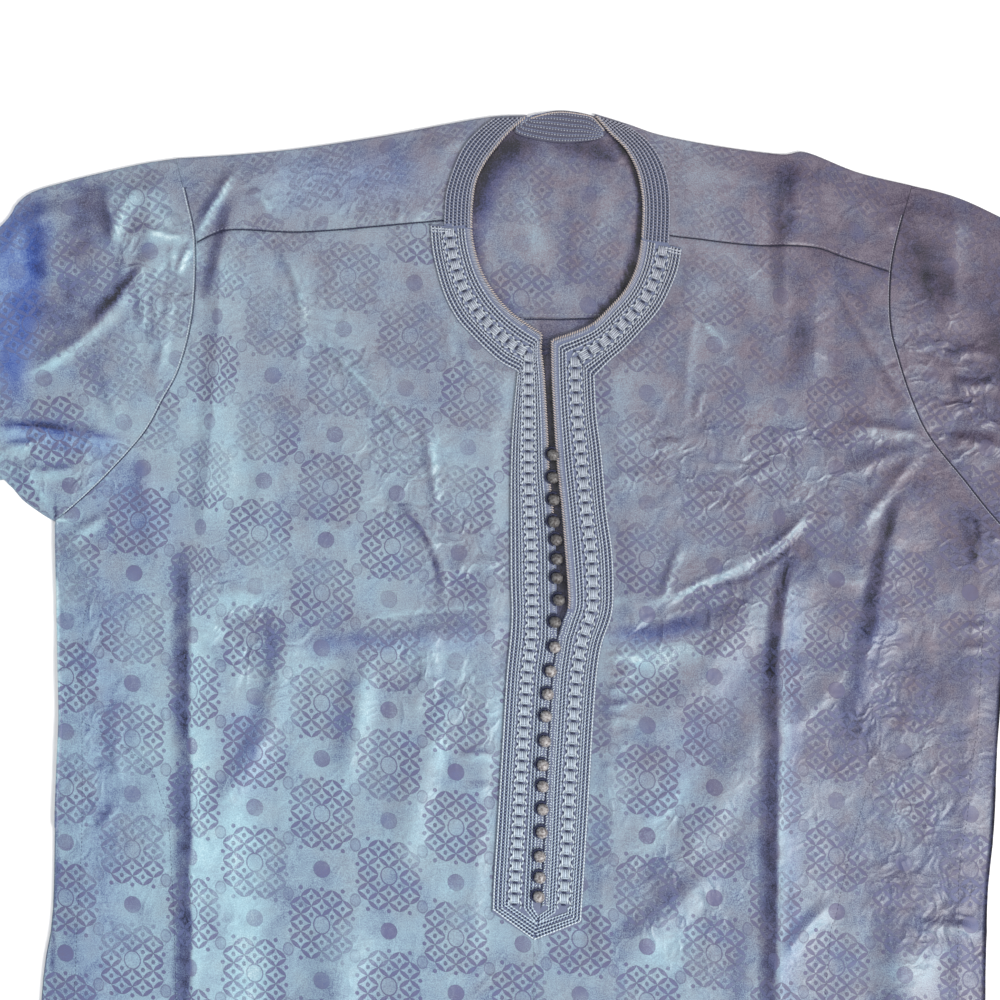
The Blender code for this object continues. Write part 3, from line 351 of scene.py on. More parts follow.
# amount: height in millimetres
folds = [
    # the two pressed folds down the body, and their faint upper ends
    (192, 530, 192, 738, 194, 1060, 4.2, 44, 16, 0.8),
    (194, 1000, 194, 1400, 190, 1978, 4.2, 44, 16, 0.8),
    (222, 232, 214, 405, 201, 548, 2.5, 22, 12, 0.7),
    (796, 556, 784, 606, 778, 690, 4.0, 30, 12, 0.8),
    (778, 650, 777, 850, 777, 1100, 4.0, 46, 15, 0.8),
    (777, 1040, 777, 1500, 775, 1978, 4.0, 46, 15, 0.8),
    (784, 154, 785, 240, 784, 330, 3.5, 26, 13, 0.4),
    (812, 249, 815, 316, 812, 390, 2.5, 16, 20, 0.5),
    # the creases across the body, at the end of the slit
    (212, 640, 352, 640, 512, 622, 2.0, 20, 36, 0.3),
    (616, 608, 716, 576, 806, 520, 1.9, 22, 6, 0.7),
    (622, 644, 700, 632, 772, 584, 2.6, 15, 34, 0.3),
    (663, 603, 703, 580, 746, 566, 0.8, 5, 5, 0.7),
    (683, 540, 673, 566, 660, 603, 1.6, 6, 6, 0.6),
    (809, 510, 792, 530, 760, 556, 2.2, 8, 9, 0.7),
    (809, 543, 822, 568, 868, 584, 2.0, 9, 12, 0.5),
    (192, 620, 216, 647, 248, 682, 1.8, 12, 9, 0.6),
    (229, 588, 246, 592, 264, 603, 1.4, 6, 8, 0.6),
    (265, 722, 245, 765, 216, 812, 1.6, 14, 12, 0.4),
    # right side: drags from the underarm and slanting folds
    (636, 742, 700, 679, 756, 599, 2.2, 22, 26, 0.4),
    (649, 911, 719, 799, 770, 700, 2.6, 26, 24, 0.3),
    (613, 958, 676, 905, 725, 850, 2.2, 18, 20, 0.3),
    (908, 470, 880, 590, 850, 730, 3.2, 34, 12, 0.5),
    (865, 634, 842, 672, 777, 738, 0.8, 8, 12, 0.7),
    (812, 249, 857, 323, 929, 438, 2.2, 16, 8, 0.8),
    (838, 260, 863, 311, 899, 362, 1.5, 8, 8, 0.6),
    (831, 426, 881, 429, 930, 436, 2.0, 9, 12, 0.8),
    (841, 474, 897, 453, 930, 441, 1.6, 9, 10, 0.5),
    (850, 540, 880, 500, 925, 446, 1.8, 10, 8, 0.5),
    (700, 313, 711, 332, 729, 348, 1.6, 6, 5, 0.7),
    (695, 300, 688, 362, 683, 424, 1.4, 7, 9, 0.5),
    (704, 386, 699, 400, 697, 417, 1.2, 4, 5, 0.6),
    (651, 450, 670, 443, 683, 452, 1.4, 5, 6, 0.6),
    (604, 478, 628, 475, 650, 477, 1.1, 6, 7, 0.4),
    (740, 480, 762, 470, 790, 462, 1.1, 7, 8, 0.4),
    (768, 436, 786, 434, 804, 438, 1.0, 6, 8, 0.4),
    (782, 958, 800, 932, 834, 900, 2.0, 9, 10, 0.4),
    (905, 930, 945, 926, 990, 934, 1.8, 8, 9, 0.5),
    (960, 624, 975, 628, 992, 620, 1.2, 5, 6, 0.6),
    (958, 646, 975, 648, 992, 642, 1.0, 4, 5, 0.6),
    (964, 508, 974, 540, 978, 570, 2.2, 7, 9, 0.6),
    (850, 494, 864, 506, 882, 514, 1.2, 4, 5, 0.6),
    # ripples beside the braid
    (604, 659, 620, 656, 640, 662, 1.3, 5, 6, 0.4),
    (604, 674, 618, 676, 634, 671, 1.1, 5, 5, 0.4),
    (603, 690, 620, 688, 642, 694, 1.3, 5, 6, 0.4),
    (602, 705, 614, 706, 630, 702, 1.0, 4, 5, 0.4),
    (601, 722, 618, 719, 638, 725, 1.2, 6, 6, 0.4),
    (600, 745, 616, 748, 632, 744, 1.0, 5, 6, 0.4),
    (599, 768, 612, 766, 628, 770, 0.9, 5, 6, 0.4),
    (462, 755, 480, 752, 499, 757, 1.1, 5, 6, 0.4),
    (464, 785, 480, 788, 498, 784, 1.0, 5, 6, 0.4),
    (470, 838, 484, 836, 497, 839, 0.9, 5, 5, 0.4),
    # left sleeve: one long fold, a fan of sharp creases at the yoke seam, drags under the arm
    (146, 258, 98, 326, 18, 376, 3.0, 9, 14, 0.8),
    (-25, 430, 68, 430, 132, 445, 2.6, 7, 8, 0.7),
    (0, 451, 26, 444, 52, 437, 1.8, 6, 7, 0.6),
    (0, 462, 40, 471, 84, 467, 2.2, 6, 8, 0.6),
    (20, 470, 33, 484, 49, 504, 2.2, 6, 7, 0.6),
    (10, 486, 18, 486, 28, 494, 1.6, 4, 5, 0.6),
    (145, 159, 152, 230, 140, 306, 2.6, 16, 18, 0.4),
    (36, 190, 44, 230, 54, 290, 4.0, 26, 16, 0.5),
    (104, 176, 110, 205, 116, 240, 3.0, 12, 10, 0.5),
    (140, 184, 121, 218, 111, 250, 2.6, 8, 8, 0.7),
    (137, 222, 128, 248, 122, 282, 2.2, 7, 6, 0.7),
    (193, 240, 166, 236, 136, 230, 2.4, 7, 8, 0.7),
    (193, 243, 184, 258, 177, 275, 2.0, 5, 5, 0.8),
    (172, 246, 173, 258, 170, 272, 1.6, 4, 5, 0.8),
    (190, 236, 176, 222, 158, 208, 1.6, 6, 6, 0.6),
    (153, 292, 156, 320, 154, 352, 2.0, 7, 7, 0.5),
    (140, 276, 143, 304, 142, 334, 2.0, 6, 7, 0.5),
    (170, 290, 166, 330, 158, 372, 1.8, 7, 7, 0.5),
    (100, 380, 112, 400, 118, 424, 1.6, 8, 8, 0.4),
    (240, 163, 218, 198, 194, 240, 2.6, 6, 8, 0.9),
    (236, 190, 222, 250, 206, 309, 1.8, 16, 9, 0.5),
    (57, 546, 80, 532, 106, 517, 2.4, 7, 7, 0.7),
    (104, 510, 112, 521, 121, 536, 1.6, 5, 5, 0.7),
    (137, 461, 148, 510, 161, 562, 1.8, 15, 13, 0.4),
    (60, 562, 84, 556, 108, 560, 1.2, 8, 9, 0.3),
    # chest, left of the slit
    (274, 240, 298, 282, 306, 322, 2.0, 9, 8, 0.5),
    (306, 322, 302, 345, 294, 368, 1.1, 8, 8, 0.4),
    (309, 323, 352, 368, 424, 446, 2.4, 9, 9, 0.6),
    (424, 418, 430, 452, 437, 514, 2.1, 5, 7, 0.7),
    (395, 500, 420, 525, 440, 560, 2.8, 7, 8, 0.7),
    (438, 553, 444, 575, 442, 604, 1.6, 6, 7, 0.5),
    (300, 518, 326, 524, 354, 538, 1.3, 8, 9, 0.4),
    (330, 470, 356, 486, 372, 506, 1.0, 8, 8, 0.3),
    (446, 322, 450, 348, 455, 374, 1.1, 6, 6, 0.4),
    (462, 340, 468, 362, 476, 384, 1.0, 5, 6, 0.4),
    (397, 196, 399, 210, 397, 224, 1.2, 5, 5, 0.5),
    (246, 190, 262, 198, 272, 212, 1.4, 7, 7, 0.5),
    (450, 572, 474, 562, 500, 566, 1.0, 7, 8, 0.3),
    (252, 420, 262, 470, 258, 524, 1.2, 14, 12, 0.2),
    # lower front, softer
    (287, 626, 275, 699, 233, 794, 3.0, 22, 16, 0.3),
    (367, 647, 357, 725, 340, 794, 3.0, 16, 20, 0.3),
    (425, 620, 425, 690, 401, 724, 2.0, 12, 16, 0.3),
    (455, 687, 425, 765, 401, 885, 2.5, 18, 24, 0.3),
    (95, 832, 108, 818, 116, 802, 1.3, 6, 7, 0.4),
    (120, 700, 116, 742, 124, 790, 1.2, 8, 9, 0.3),
    (348, 911, 328, 1138, 348, 1405, 4.0, 30, 34, 0),
    (455, 1165, 441, 1431, 460, 1725, 4.0, 34, 30, 0),
    (588, 1031, 612, 1351, 601, 1645, 4.0, 30, 30, 0),
    (676, 1405, 671, 1618, 663, 1871, 3.5, 26, 30, 0),
    (897, 898, 905, 1191, 897, 1538, 5.0, 36, 26, 0),
    (108, 1218, 100, 1485, 95, 1751, 3.5, 22, 20, 0),
    # right sleeve
    (955, 191, 951, 262, 956, 334, 2.2, 26, 40, 0.6),
    (862, 176, 878, 206, 896, 238, 2.0, 8, 9, 0.6),
    (922, 276, 932, 290, 936, 306, 1.4, 5, 5, 0.6),
    (936, 294, 945, 312, 954, 330, 1.4, 5, 5, 0.6),
    (999, 311, 1044, 399, 1121, 466, 5.0, 24, 24, 0.3),
    (944, 362, 966, 352, 998, 360, 1.6, 6, 6, 0.6),
    (950, 378, 968, 386, 996, 378, 1.6, 6, 6, 0.6),
    (958, 402, 976, 414, 994, 430, 1.6, 7, 6, 0.6),
    (946, 440, 972, 442, 1004, 448, 2.0, 9, 9, 0.4),
    # sleeves past the armholes' creases
    (-39, 298, -145, 391, -265, 485, 6.0, 28, 24, 0.2),
    (-79, 485, -199, 562, -319, 639, 5.0, 22, 26, 0.2),
    (-199, 335, -305, 431, -412, 519, 5.0, 24, 24, 0.2),
    (1121, 309, 1241, 386, 1388, 466, 6.0, 26, 26, 0.2),
    (1148, 498, 1268, 551, 1401, 623, 5.0, 24, 22, 0.2),
    (1308, 365, 1401, 426, 1508, 495, 4.5, 22, 24, 0.2),
]


# amount: painted shade or painted highlight, how much darker or brighter the satin's colour is made there
paintedSheens = [
    # painted shade: dark strokes on slopes that face away from the light
    (102, 178, 105, 214, 116, 250, -0.3, 4, 40, -0.8),
    (40, 206, 36, 270, 22, 350, -0.3, 16, 30, 0),
    (8, 310, 6, 360, 2, 430, -0.22, 22, 16, 0),
    (-6, 429, 44, 427, 120, 441, -0.5, 4, 5, 0.4),
    (143, 262, 116, 296, 86, 328, -0.62, 3, 9, 0.4),
    (228, 204, 214, 244, 205, 306, -0.3, 10, 12, -0.5),
    (156, 340, 152, 372, 146, 402, -0.16, 10, 12, 0),
    (136, 452, 142, 480, 150, 512, -0.22, 8, 10, 0),
    (187, 536, 188, 700, 190, 1060, -0.36, 2.5, 17, -0.9),
    (189, 1000, 190, 1400, 188, 2000, -0.26, 4, 13, -0.9),
    (266, 604, 270, 645, 264, 676, -0.3, 7, 5, 0),
    (330, 692, 342, 716, 346, 744, -0.12, 16, 18, 0),
    (406, 650, 404, 672, 396, 696, -0.2, 7, 9, 0),
    (286, 644, 398, 634, 508, 620, -0.2, 7, 10, -0.4),
    (286, 661, 330, 656, 360, 652, -0.12, 5, 5, 0),
    (604, 630, 650, 630, 704, 614, -0.22, 7, 8, -0.4),
    (700, 590, 756, 572, 808, 530, -0.36, 3, 7, -0.4),
    (622, 826, 660, 742, 752, 640, -0.1, 14, 14, 0),
    (792, 562, 780, 610, 775, 700, -0.28, 3, 10, -0.9),
    (775, 650, 774, 840, 774, 1060, -0.3, 3, 14, -0.9),
    (774, 1000, 774, 1400, 772, 2000, -0.26, 4, 13, -0.9),
    (790, 556, 780, 590, 768, 640, -0.2, 5, 9, 0.2),
    (612, 950, 650, 908, 706, 872, -0.18, 12, 12, 0),
    (903, 488, 881, 560, 872, 650, -0.3, 5, 10, -0.2),
    (872, 640, 862, 710, 844, 780, -0.16, 9, 12, 0),
    (788, 160, 790, 204, 788, 250, -0.28, 10, 12, 0),
    (790, 250, 800, 310, 800, 392, -0.2, 14, 22, 0),
    (888, 184, 916, 246, 946, 322, -0.26, 24, 22, -0.3),
    (70, 190, 74, 260, 40, 350, -0.36, 30, 34, 0),
    (118, 270, 96, 330, 112, 400, -0.24, 34, 34, 0),
    (458, 752, 480, 750, 500, 754, -0.24, 2.5, 3, 0),
    (462, 780, 480, 782, 500, 779, -0.2, 2.5, 3, 0),
    (464, 722, 482, 726, 500, 722, -0.16, 2.5, 3, 0),
    (266, 722, 249, 764, 226, 814, -0.2, 3, 6, 0),
    (62, 640, 58, 800, 53, 1010, -0.34, 2.5, 4, 0),
    (604, 668, 622, 666, 640, 670, -0.2, 2.5, 3, 0),
    (603, 698, 618, 700, 636, 698, -0.2, 2.5, 3, 0),
    (601, 732, 616, 734, 634, 730, -0.16, 2.5, 3, 0),
    (936, 196, 944, 240, 950, 310, -0.06, 4, 20, 0),
    (976, 512, 976, 540, 978, 570, -0.5, 4, 5, 0),
    (840, 812, 838, 850, 840, 890, -0.14, 18, 18, 0),
    (110, 560, 108, 760, 100, 1200, -0.1, 40, 40, 0),
    (398, 500, 424, 534, 438, 590, -0.46, 3, 5, 0),
    (440, 430, 466, 424, 498, 430, -0.08, 8, 8, 0),
    (962, 700, 962, 850, 958, 1000, -0.12, 13, 13, 0),
    (736, 940, 738, 980, 730, 1030, -0.14, 12, 12, 0),
    (462, 890, 470, 950, 486, 1020, -0.1, 16, 16, 0),
    (1000, 440, 970, 440, 944, 440, -0.12, 6, 8, 0),
    (870, 820, 880, 860, 884, 900, -0.08, 20, 20, 0),
    (560, 300, 620, 300, 680, 240, -0.04, 30, 30, 0),
    # painted highlights: bright strokes on slopes that face the light
    (112, 186, 150, 206, 176, 244, 0.24, 26, 24, 0),
    (20, 224, 18, 250, 14, 282, 0.22, 10, 8, 0),
    (22, 376, 66, 356, 108, 314, 0.24, 5, 4, 0.3),
    (20, 456, 60, 456, 112, 462, 0.14, 8, 8, 0),
    (4, 440, 50, 438, 110, 452, 0.2, 3, 3, 0),
    (204, 604, 236, 606, 262, 612, 0.2, 14, 12, 0),
    (195, 596, 194, 760, 196, 1010, 0.28, 20, 2.5, 0.2),
    (226, 780, 240, 880, 246, 1100, 0.34, 34, 30, 0),
    (366, 652, 366, 694, 356, 744, 0.26, 11, 11, 0),
    (352, 619, 420, 612, 502, 604, 0.34, 4, 2.5, 0.3),
    (206, 622, 226, 640, 244, 664, 0.24, 4, 6, 0.2),
    (446, 700, 440, 740, 446, 780, 0.2, 11, 11, 0),
    (612, 662, 654, 656, 708, 646, 0.32, 14, 16, 0),
    (660, 606, 720, 574, 810, 512, 0.16, 4, 3, 0.3),
    (700, 596, 760, 600, 800, 570, 0.12, 12, 16, 0),
    (598, 602, 612, 600, 636, 598, 0.22, 6, 8, 0),
    (620, 660, 700, 650, 760, 622, 0.12, 26, 30, 0),
    (262, 720, 245, 762, 221, 812, 0.2, 3, 3, 0),
    (604, 660, 624, 657, 646, 663, 0.24, 3, 3, 0),
    (603, 690, 620, 689, 644, 694, 0.22, 3, 3, 0),
    (602, 722, 620, 720, 642, 725, 0.2, 3, 3, 0),
    (604, 745, 618, 747, 636, 743, 0.16, 3, 3, 0),
    (460, 760, 478, 758, 498, 762, 0.18, 3, 3, 0),
    (900, 920, 940, 926, 984, 936, 0.2, 5, 8, 0),
    (818, 560, 836, 578, 872, 578, 0.34, 16, 4, 0),
    (628, 880, 664, 820, 706, 756, 0.18, 12, 14, 0),
    (622, 990, 664, 956, 712, 920, 0.26, 20, 22, 0),
    (785, 640, 781, 800, 780, 1010, 0.26, 9, 2.5, 0),
    (876, 656, 846, 690, 790, 736, 0.08, 4, 7, 0),
    (900, 700, 912, 780, 900, 860, 0.14, 34, 34, 0),
    (860, 980, 910, 968, 960, 950, 0.22, 22, 24, 0),
    (836, 436, 880, 430, 926, 438, 0.22, 3, 12, 0),
    (620, 450, 660, 446, 690, 460, 0.1, 24, 26, 0),
    (266, 190, 276, 206, 284, 224, 0.14, 14, 14, 0),
    (70, 510, 78, 540, 76, 570, 0.18, 15, 15, 0),
    (960, 460, 980, 466, 996, 470, 0.14, 10, 10, 0),
    (310, 330, 364, 382, 420, 446, 0.34, 3, 3, 0.3),
    (192, 238, 170, 235, 138, 231, 0.42, 3, 3, 0.3),
    (191, 246, 185, 258, 180, 274, 0.34, 2.5, 2.5, 0.3),
    (176, 246, 166, 262, 148, 284, 0.34, 3, 3, 0.3),
    (142, 262, 141, 286, 142, 316, 0.44, 2.5, 3, 0.3),
    (132, 224, 126, 240, 124, 258, 0.44, 2.5, 3, 0.3),
    (138, 184, 122, 214, 112, 244, 0.4, 2.5, 3, 0.3),
    (240, 164, 218, 198, 195, 236, 0.44, 2, 3, 0.3),
    (290, 262, 302, 298, 306, 344, 0.3, 4, 4, 0.2),
    (252, 190, 262, 200, 268, 216, 0.26, 3, 5, 0.2),
    (438, 418, 434, 450, 438, 500, 0.24, 3, 3, 0.2),
    (664, 604, 672, 572, 682, 542, 0.2, 3, 3, 0.3),
    (810, 512, 800, 524, 786, 540, 0.26, 3, 3, 0.3),
    (60, 536, 84, 526, 104, 516, 0.28, 3, 3, 0.3),
    (104, 514, 112, 522, 118, 534, 0.2, 2.5, 2.5, 0.3),
    (24, 470, 34, 484, 50, 506, 0.3, 2.5, 3, 0.3),
    (10, 470, 34, 466, 62, 470, 0.22, 2.5, 3, 0.3),
    (890, 340, 930, 352, 968, 372, 0.2, 3, 4, 0.2),
    (906, 366, 940, 372, 992, 362, 0.2, 3, 4, 0.2),
    (290, 440, 240, 470, 226, 520, 0.08, 30, 30, 0),
    (700, 316, 712, 332, 728, 346, 0.36, 4, 4, 0),
    (820, 262, 860, 322, 916, 412, 0.1, 5, 5, 0),
    (956, 206, 956, 260, 958, 312, 0.22, 12, 3, 0.2),
]


# amount: painted blue light, how far the satin's colour turns to a strong blue where blue light falls in the shade
paintedBlueLight = [
    (30, 180, 26, 290, 0, 420, 1.0, 24, 150, 0),
    (-10, 430, 60, 436, 130, 450, 0.8, 14, 16, 0),
    (80, 470, 130, 500, 160, 560, 0.35, 40, 30, 0),
    (106, 560, 104, 760, 100, 2000, 0.2, 36, 46, 0),
    (280, 644, 390, 642, 506, 634, 0.3, 12, 14, 0),
    (598, 636, 650, 636, 712, 616, 0.4, 13, 12, 0),
    (640, 840, 690, 760, 760, 640, 0.2, 22, 22, 0),
    (790, 560, 788, 760, 786, 2000, 0.3, 14, 9, 0),
    (250, 190, 340, 180, 440, 176, 0.35, 34, 34, 0),
    (236, 700, 250, 740, 250, 800, 0.3, 26, 26, 0),
    (880, 560, 872, 640, 850, 720, 0.2, 22, 14, 0),
    (520, 140, 490, 190, 480, 250, 0.25, 12, 10, 0),
]

# amount: how strongly fine creases crush the cloth; this sets both their bump and their painted shade
crushAndCreaseShade = [
    (340, 420, 420, 500, 470, 610, 0.9, 60, 60, 0),
    (300, 250, 330, 340, 400, 420, 0.4, 60, 60, 0),
    (620, 440, 760, 470, 900, 430, 1.0, 60, 60, 0),
    (620, 640, 700, 610, 800, 530, 1.0, 40, 40, 0),
    (640, 760, 660, 860, 680, 960, 0.5, 60, 60, 0),
    (120, 190, 150, 260, 160, 360, 1.0, 40, 40, 0),
    (-20, 440, 60, 460, 130, 490, 1.0, 40, 40, 0),
    (190, 560, 240, 620, 300, 700, 0.7, 50, 50, 0),
    (360, 640, 430, 680, 490, 760, 0.7, 50, 50, 0),
    (70, 560, 90, 700, 100, 900, 0.6, 40, 40, 0),
    (900, 300, 950, 400, 990, 480, 0.9, 50, 50, 0),
    (840, 600, 900, 760, 930, 980, 0.5, 60, 60, 0),
    (240, 170, 330, 200, 430, 200, 0.3, 40, 40, 0),
]


def strokeShare(stroke, x, y):
    # from 0 beside a stroke to 1 along its middle
    *spots, _, left, right, sharp = stroke
    corners = (np.reshape(spots, (3, 2)) - layout["frontPoint"]) * (layout["step"], -layout["step"])
    t = np.linspace(0, 1, layout["bends"] + 1)[:, None]
    first, second = np.hypot(*np.diff(corners, axis=0).T)
    at = first / (first + second)
    pull = (corners[1] - (1 - at) ** 2 * corners[0] - at**2 * corners[2]) / (2 * at * (1 - at))
    line = corners[0] * (1 - t) ** 2 + pull * 2 * t * (1 - t) + corners[2] * t**2
    low, high = line.min(axis=0) - max(left, right), line.max(axis=0) + max(left, right)
    inside = (x > low[0]) & (x < high[0]) & (y > low[1]) & (y < high[1])
    share = np.zeros(x.shape)
    if not inside.any():
        return share
    px, py = x[inside], y[inside]
    near, walked, onLeft, done = np.full(px.shape, 1e9), np.zeros(px.shape), np.zeros(px.shape, bool), 0.0
    for (ax, ay), (bx, by) in zip(line, line[1:]):
        length = math.hypot(bx - ax, by - ay)
        ux, uy = (bx - ax) / length, (by - ay) / length
        along = np.clip((px - ax) * ux + (py - ay) * uy, 0, length)
        distance = np.hypot(px - ax - ux * along, py - ay - uy * along)
        nearer = distance < near
        near, walked = np.where(nearer, distance, near), np.where(nearer, done + along, walked)
        onLeft = np.where(nearer, ux * (py - ay) > uy * (px - ax), onLeft)
        done += length
    close = np.clip(1 - near / np.where(onLeft, left, right), 0, 1)
    fade = min(layout["endFade"], done / 3)
    ends = ease(np.minimum(walked, done - walked) / fade + layout["endShare"])
    share[inside] = mix(ease(close), close ** layout["ridge"], sharp) * ends
    return share


def strokesAt(strokes, x, y):
    return sum(stroke[6] * strokeShare(stroke, x, y) for stroke in strokes)


def edgeShare(x, y):
    # 0 at the robe's own edge, 1 well inside it
    share = ease((yAt(topLine, x) - y) / cloth["edgeFade"])
    for name, way in ways.items():
        edge, low = sideEdge[name], lowFold[name]
        inside = way * (xAt(edge, y) - x)
        onBody = (y < edge[0, 1]) & (inside > 0)
        share = share * np.where(onBody, ease(inside / cloth["edgeFade"]), 1)
        above = ease((y - yAt(rightwards(low), x)) / cloth["edgeFade"])
        share = share * np.where((way * (x - low[0, 0]) > 0) & ~onBody, above, 1)
    return share


def braidShare(x, y):
    # 0 under the stiff braid, 1 clear of it
    outside = trimTip[1] - cloth["tipKeep"] - y
    for name, way in ways.items():
        toBand = ease((y - band[name][-1, 1]) / cloth["bandBlend"])
        edge = mix(xAt(trimEdge[name], y), xAt(band[name], y), toBand)
        outside = np.maximum(outside, way * (x - edge))
    return ease(outside / cloth["trimFade"])


def curlHeight(x, y):
    levels = np.array(curl)
    rise = np.interp(-y, -levels[:, 0], levels[:, 1])
    slit, edge = xAt(inner["right"], y), xAt(trimEdge["right"], y)
    return np.where(x > slit - 1, rise * np.clip((edge - x) / (edge - slit), 0, 1), 0)


# boxes round the pocket bags, which lift the cloth a little
pocketBags = [((-379, -612), (-279, -291)), ((205, -616), (334, -301))]
bagLift, bagReach = 1.3, 38.0


def bagShare(x, y):
    share = 0
    for low, high in pocketBags:
        offX = np.maximum(np.maximum(low[0] - x, x - high[0]), 0)
        offY = np.maximum(np.maximum(low[1] - y, y - high[1]), 0)
        share = np.maximum(share, 1 - ease((np.hypot(offX, offY) - bagReach) / bagReach))
    return share


def crumpleNoise(x, y, size, seed):
    # uneven small rises: the same on every run
    return np.array([
        noise.noise((px / size, py / size, seed)) for px, py in zip(x.ravel(), y.ravel())
    ]).reshape(x.shape)


def underside(x, y, fine=True):
    # underside of the upper cloth layer
    x, y = np.asarray(x, float), np.asarray(y, float)
    loose = edgeShare(x, y) * braidShare(x, y)
    raised = cloth["rest"] + strokesAt(folds, x, y)
    if fine:
        *wide, wideGain = cloth["crumpleWide"]
        *small, smallGain = cloth["crumpleSmall"]
        perX, perY = cloth["crumpleSkew"]
        ridges = 1 - 2 * abs(crumpleNoise(x * perX + y * perY, y, *small))
        raised = raised + cloth["crumple"] * (wideGain * crumpleNoise(x, y, *wide) + smallGain * ridges)
    return cloth["under"] + np.maximum(raised, 0) * loose + bagLift * bagShare(x, y) + curlHeight(x, y)


def braidTop(x, y):
    return underside(x, y, fine=False) + cloth["wall"] + cloth["gap"]


# painted shade and light on the layer seen through the neck hole, and what else lies low: shadow under the bands and
# the black of the slit
paintedLowShade = [
    (548, 136, 492, 156, 474, 236, -0.8, 24, 20, 0),
    (474, 220, 476, 280, 520, 326, -0.7, 14, 12, 0),
    (540, 140, 580, 146, 628, 160, -0.5, 14, 14, 0),
    (602, 118, 645, 190, 634, 258, -1.8, 7, 8, -0.5),
    (634, 254, 620, 298, 588, 322, -1.8, 6, 7, -0.5),
    (528, 319, 560, 320, 594, 319, -1.2, 2, 5, 0.2),
    (526, 332, 560, 334, 596, 328, -0.9, 8, 8, 0),
    (524, 180, 534, 220, 548, 262, 0.2, 10, 12, 0),
    (608, 176, 606, 216, 596, 250, 0.16, 10, 12, 0),
    (530, 300, 560, 296, 590, 300, 0.14, 12, 10, 0),
    (566, 180, 572, 236, 566, 300, -0.14, 7, 9, 0),
    (540, 334, 552, 480, 566, 640, -1.8, 16, 16, 0),
]
# painted light and shade in the satin's colour, with random patches
shine = {
    "level": 0.52, "innerLevel": 0.46,
    # painted shade: the satin is made darker towards the right
    "rightward": (60.0, 350.0, -0.0007),                # darker from here to here, by this much a mm
    "strokeGain": 0.6, "broken": (0.5, 8.0, 21.6),      # strokes, and how unevenly they show
    # painted highlight and shade: brighter on slopes facing the lamp at the lower right, darker on slopes facing away
    "slopeShadeGain": 0.46, "slopeStep": 0.8,                # brighter where it slopes down to the lower right
    "patches": ((0.12, 62.0, 5.3), (0.06, 23.0, 9.1)), "patchSkew": 0.35,     # how strong, how wide, seed
    "crushLeast": 0.3,
    "wander": ((1.6, 12.0, 2.2), (3.0, 38.0, 8.4)),     # how far strokes stray, over what distance, seed
    "otherSeed": 40,
    # painted light colour: warmer and darker to the upper right, cooler to the lower left
    "warm": (0.45, 0.001, 0.001, 200.0), "warmLowest": -450.0,
}


# painted light colour: how warm the light is painted, more to the upper right
def paintedWarmthAt(x, y):
    start, perX, perY, offset = shine["warm"]
    return np.clip(start + perX * x + perY * (np.maximum(y, shine["warmLowest"]) + offset), 0, 1)


def paintedLightAt(x, y, low):
    # painted light on the satin: painted shade and highlight, the painted warm light colour, the painted blue light,
    # and how hard fine creases crush it; low is the layer that lies underneath
    step = shine["slopeStep"]
    strayX, strayY = x, y
    for reach, size, seed in shine["wander"]:
        strayX = strayX + reach * crumpleNoise(x, y, size, seed)
        strayY = strayY + reach * crumpleNoise(x, y, size, seed + shine["otherSeed"])
    uneven, *size = shine["broken"]
    gain = shine["strokeGain"] * (1 + uneven * crumpleNoise(x, y, *size))
    paintedSheen = shine["level"] + gain * strokesAt(paintedSheens, strayX, strayY)
    # painted shade: darker towards the right
    start, end, fall = shine["rightward"]
    paintedSheen = paintedSheen + fall * np.clip(x - start, 0, end - start)
    # painted highlight and shade from the cloth's own slopes
    paintedSlopeShade = (underside(x + step, y - step) - underside(x - step, y + step)) / (2 * step * math.sqrt(2))
    paintedSheen = paintedSheen - shine["slopeShadeGain"] * paintedSlopeShade
    paintedLowSheen = shine["innerLevel"] + shine["strokeGain"] * strokesAt(paintedLowShade, x, y)
    paintedSheen = np.where(low, paintedLowSheen, paintedSheen)
    for gain, size, seed in shine["patches"]:
        paintedSheen = paintedSheen + gain * crumpleNoise(x + y * shine["patchSkew"], y, size, seed)
    crushAndShade = shine["crushLeast"] + strokesAt(crushAndCreaseShade, strayX, strayY)
    return np.clip(np.stack([paintedSheen, paintedWarmthAt(x, y), strokesAt(paintedBlueLight, strayX, strayY), crushAndShade], -1), 0, 1)


@contextmanager
def reshaping(mesh):
    # opens a mesh to bmesh operators and puts their result back
    bm = bmesh.new()
    bm.from_mesh(mesh)
    yield bm
    bm.to_mesh(mesh)
    bm.free()


def spotsOf(mesh):
    spots = np.empty(len(mesh.vertices) * 3)
    mesh.vertices.foreach_get("co", spots)
    return spots.reshape(-1, 3)


# stores the painted light and shade, with the crease crushing, as the 'tone' attribute
def addPaintedLight(mesh):
    x, y, z = (spotsOf(mesh) / mm).T
    tone = paintedLightAt(x - neckX, y - neckY, z < cloth["under"])
    stored = mesh.color_attributes.new("tone", "FLOAT_COLOR", "POINT")
    stored.data.foreach_set("color", tone.ravel())


def newPiece(mesh, material, slot):
    piece = bpy.data.objects.new(mesh.name, mesh)
    bpy.context.scene.collection.objects.link(piece)
    mesh.materials.append(material)
    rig.slot(piece, slot)
    return piece


def thickPiece(mesh, material, slot, thickness):
    piece = newPiece(mesh, material, slot)
    solidify = piece.modifiers.new("thickness", "SOLIDIFY")
    solidify.thickness = thickness * mm
    solidify.offset = -1
    return piece


def clothPiece(mesh, material, thickness=cloth["shell"]):
    addPaintedLight(mesh)
    return thickPiece(mesh, material, "damask", thickness)


weldReach = 0.02


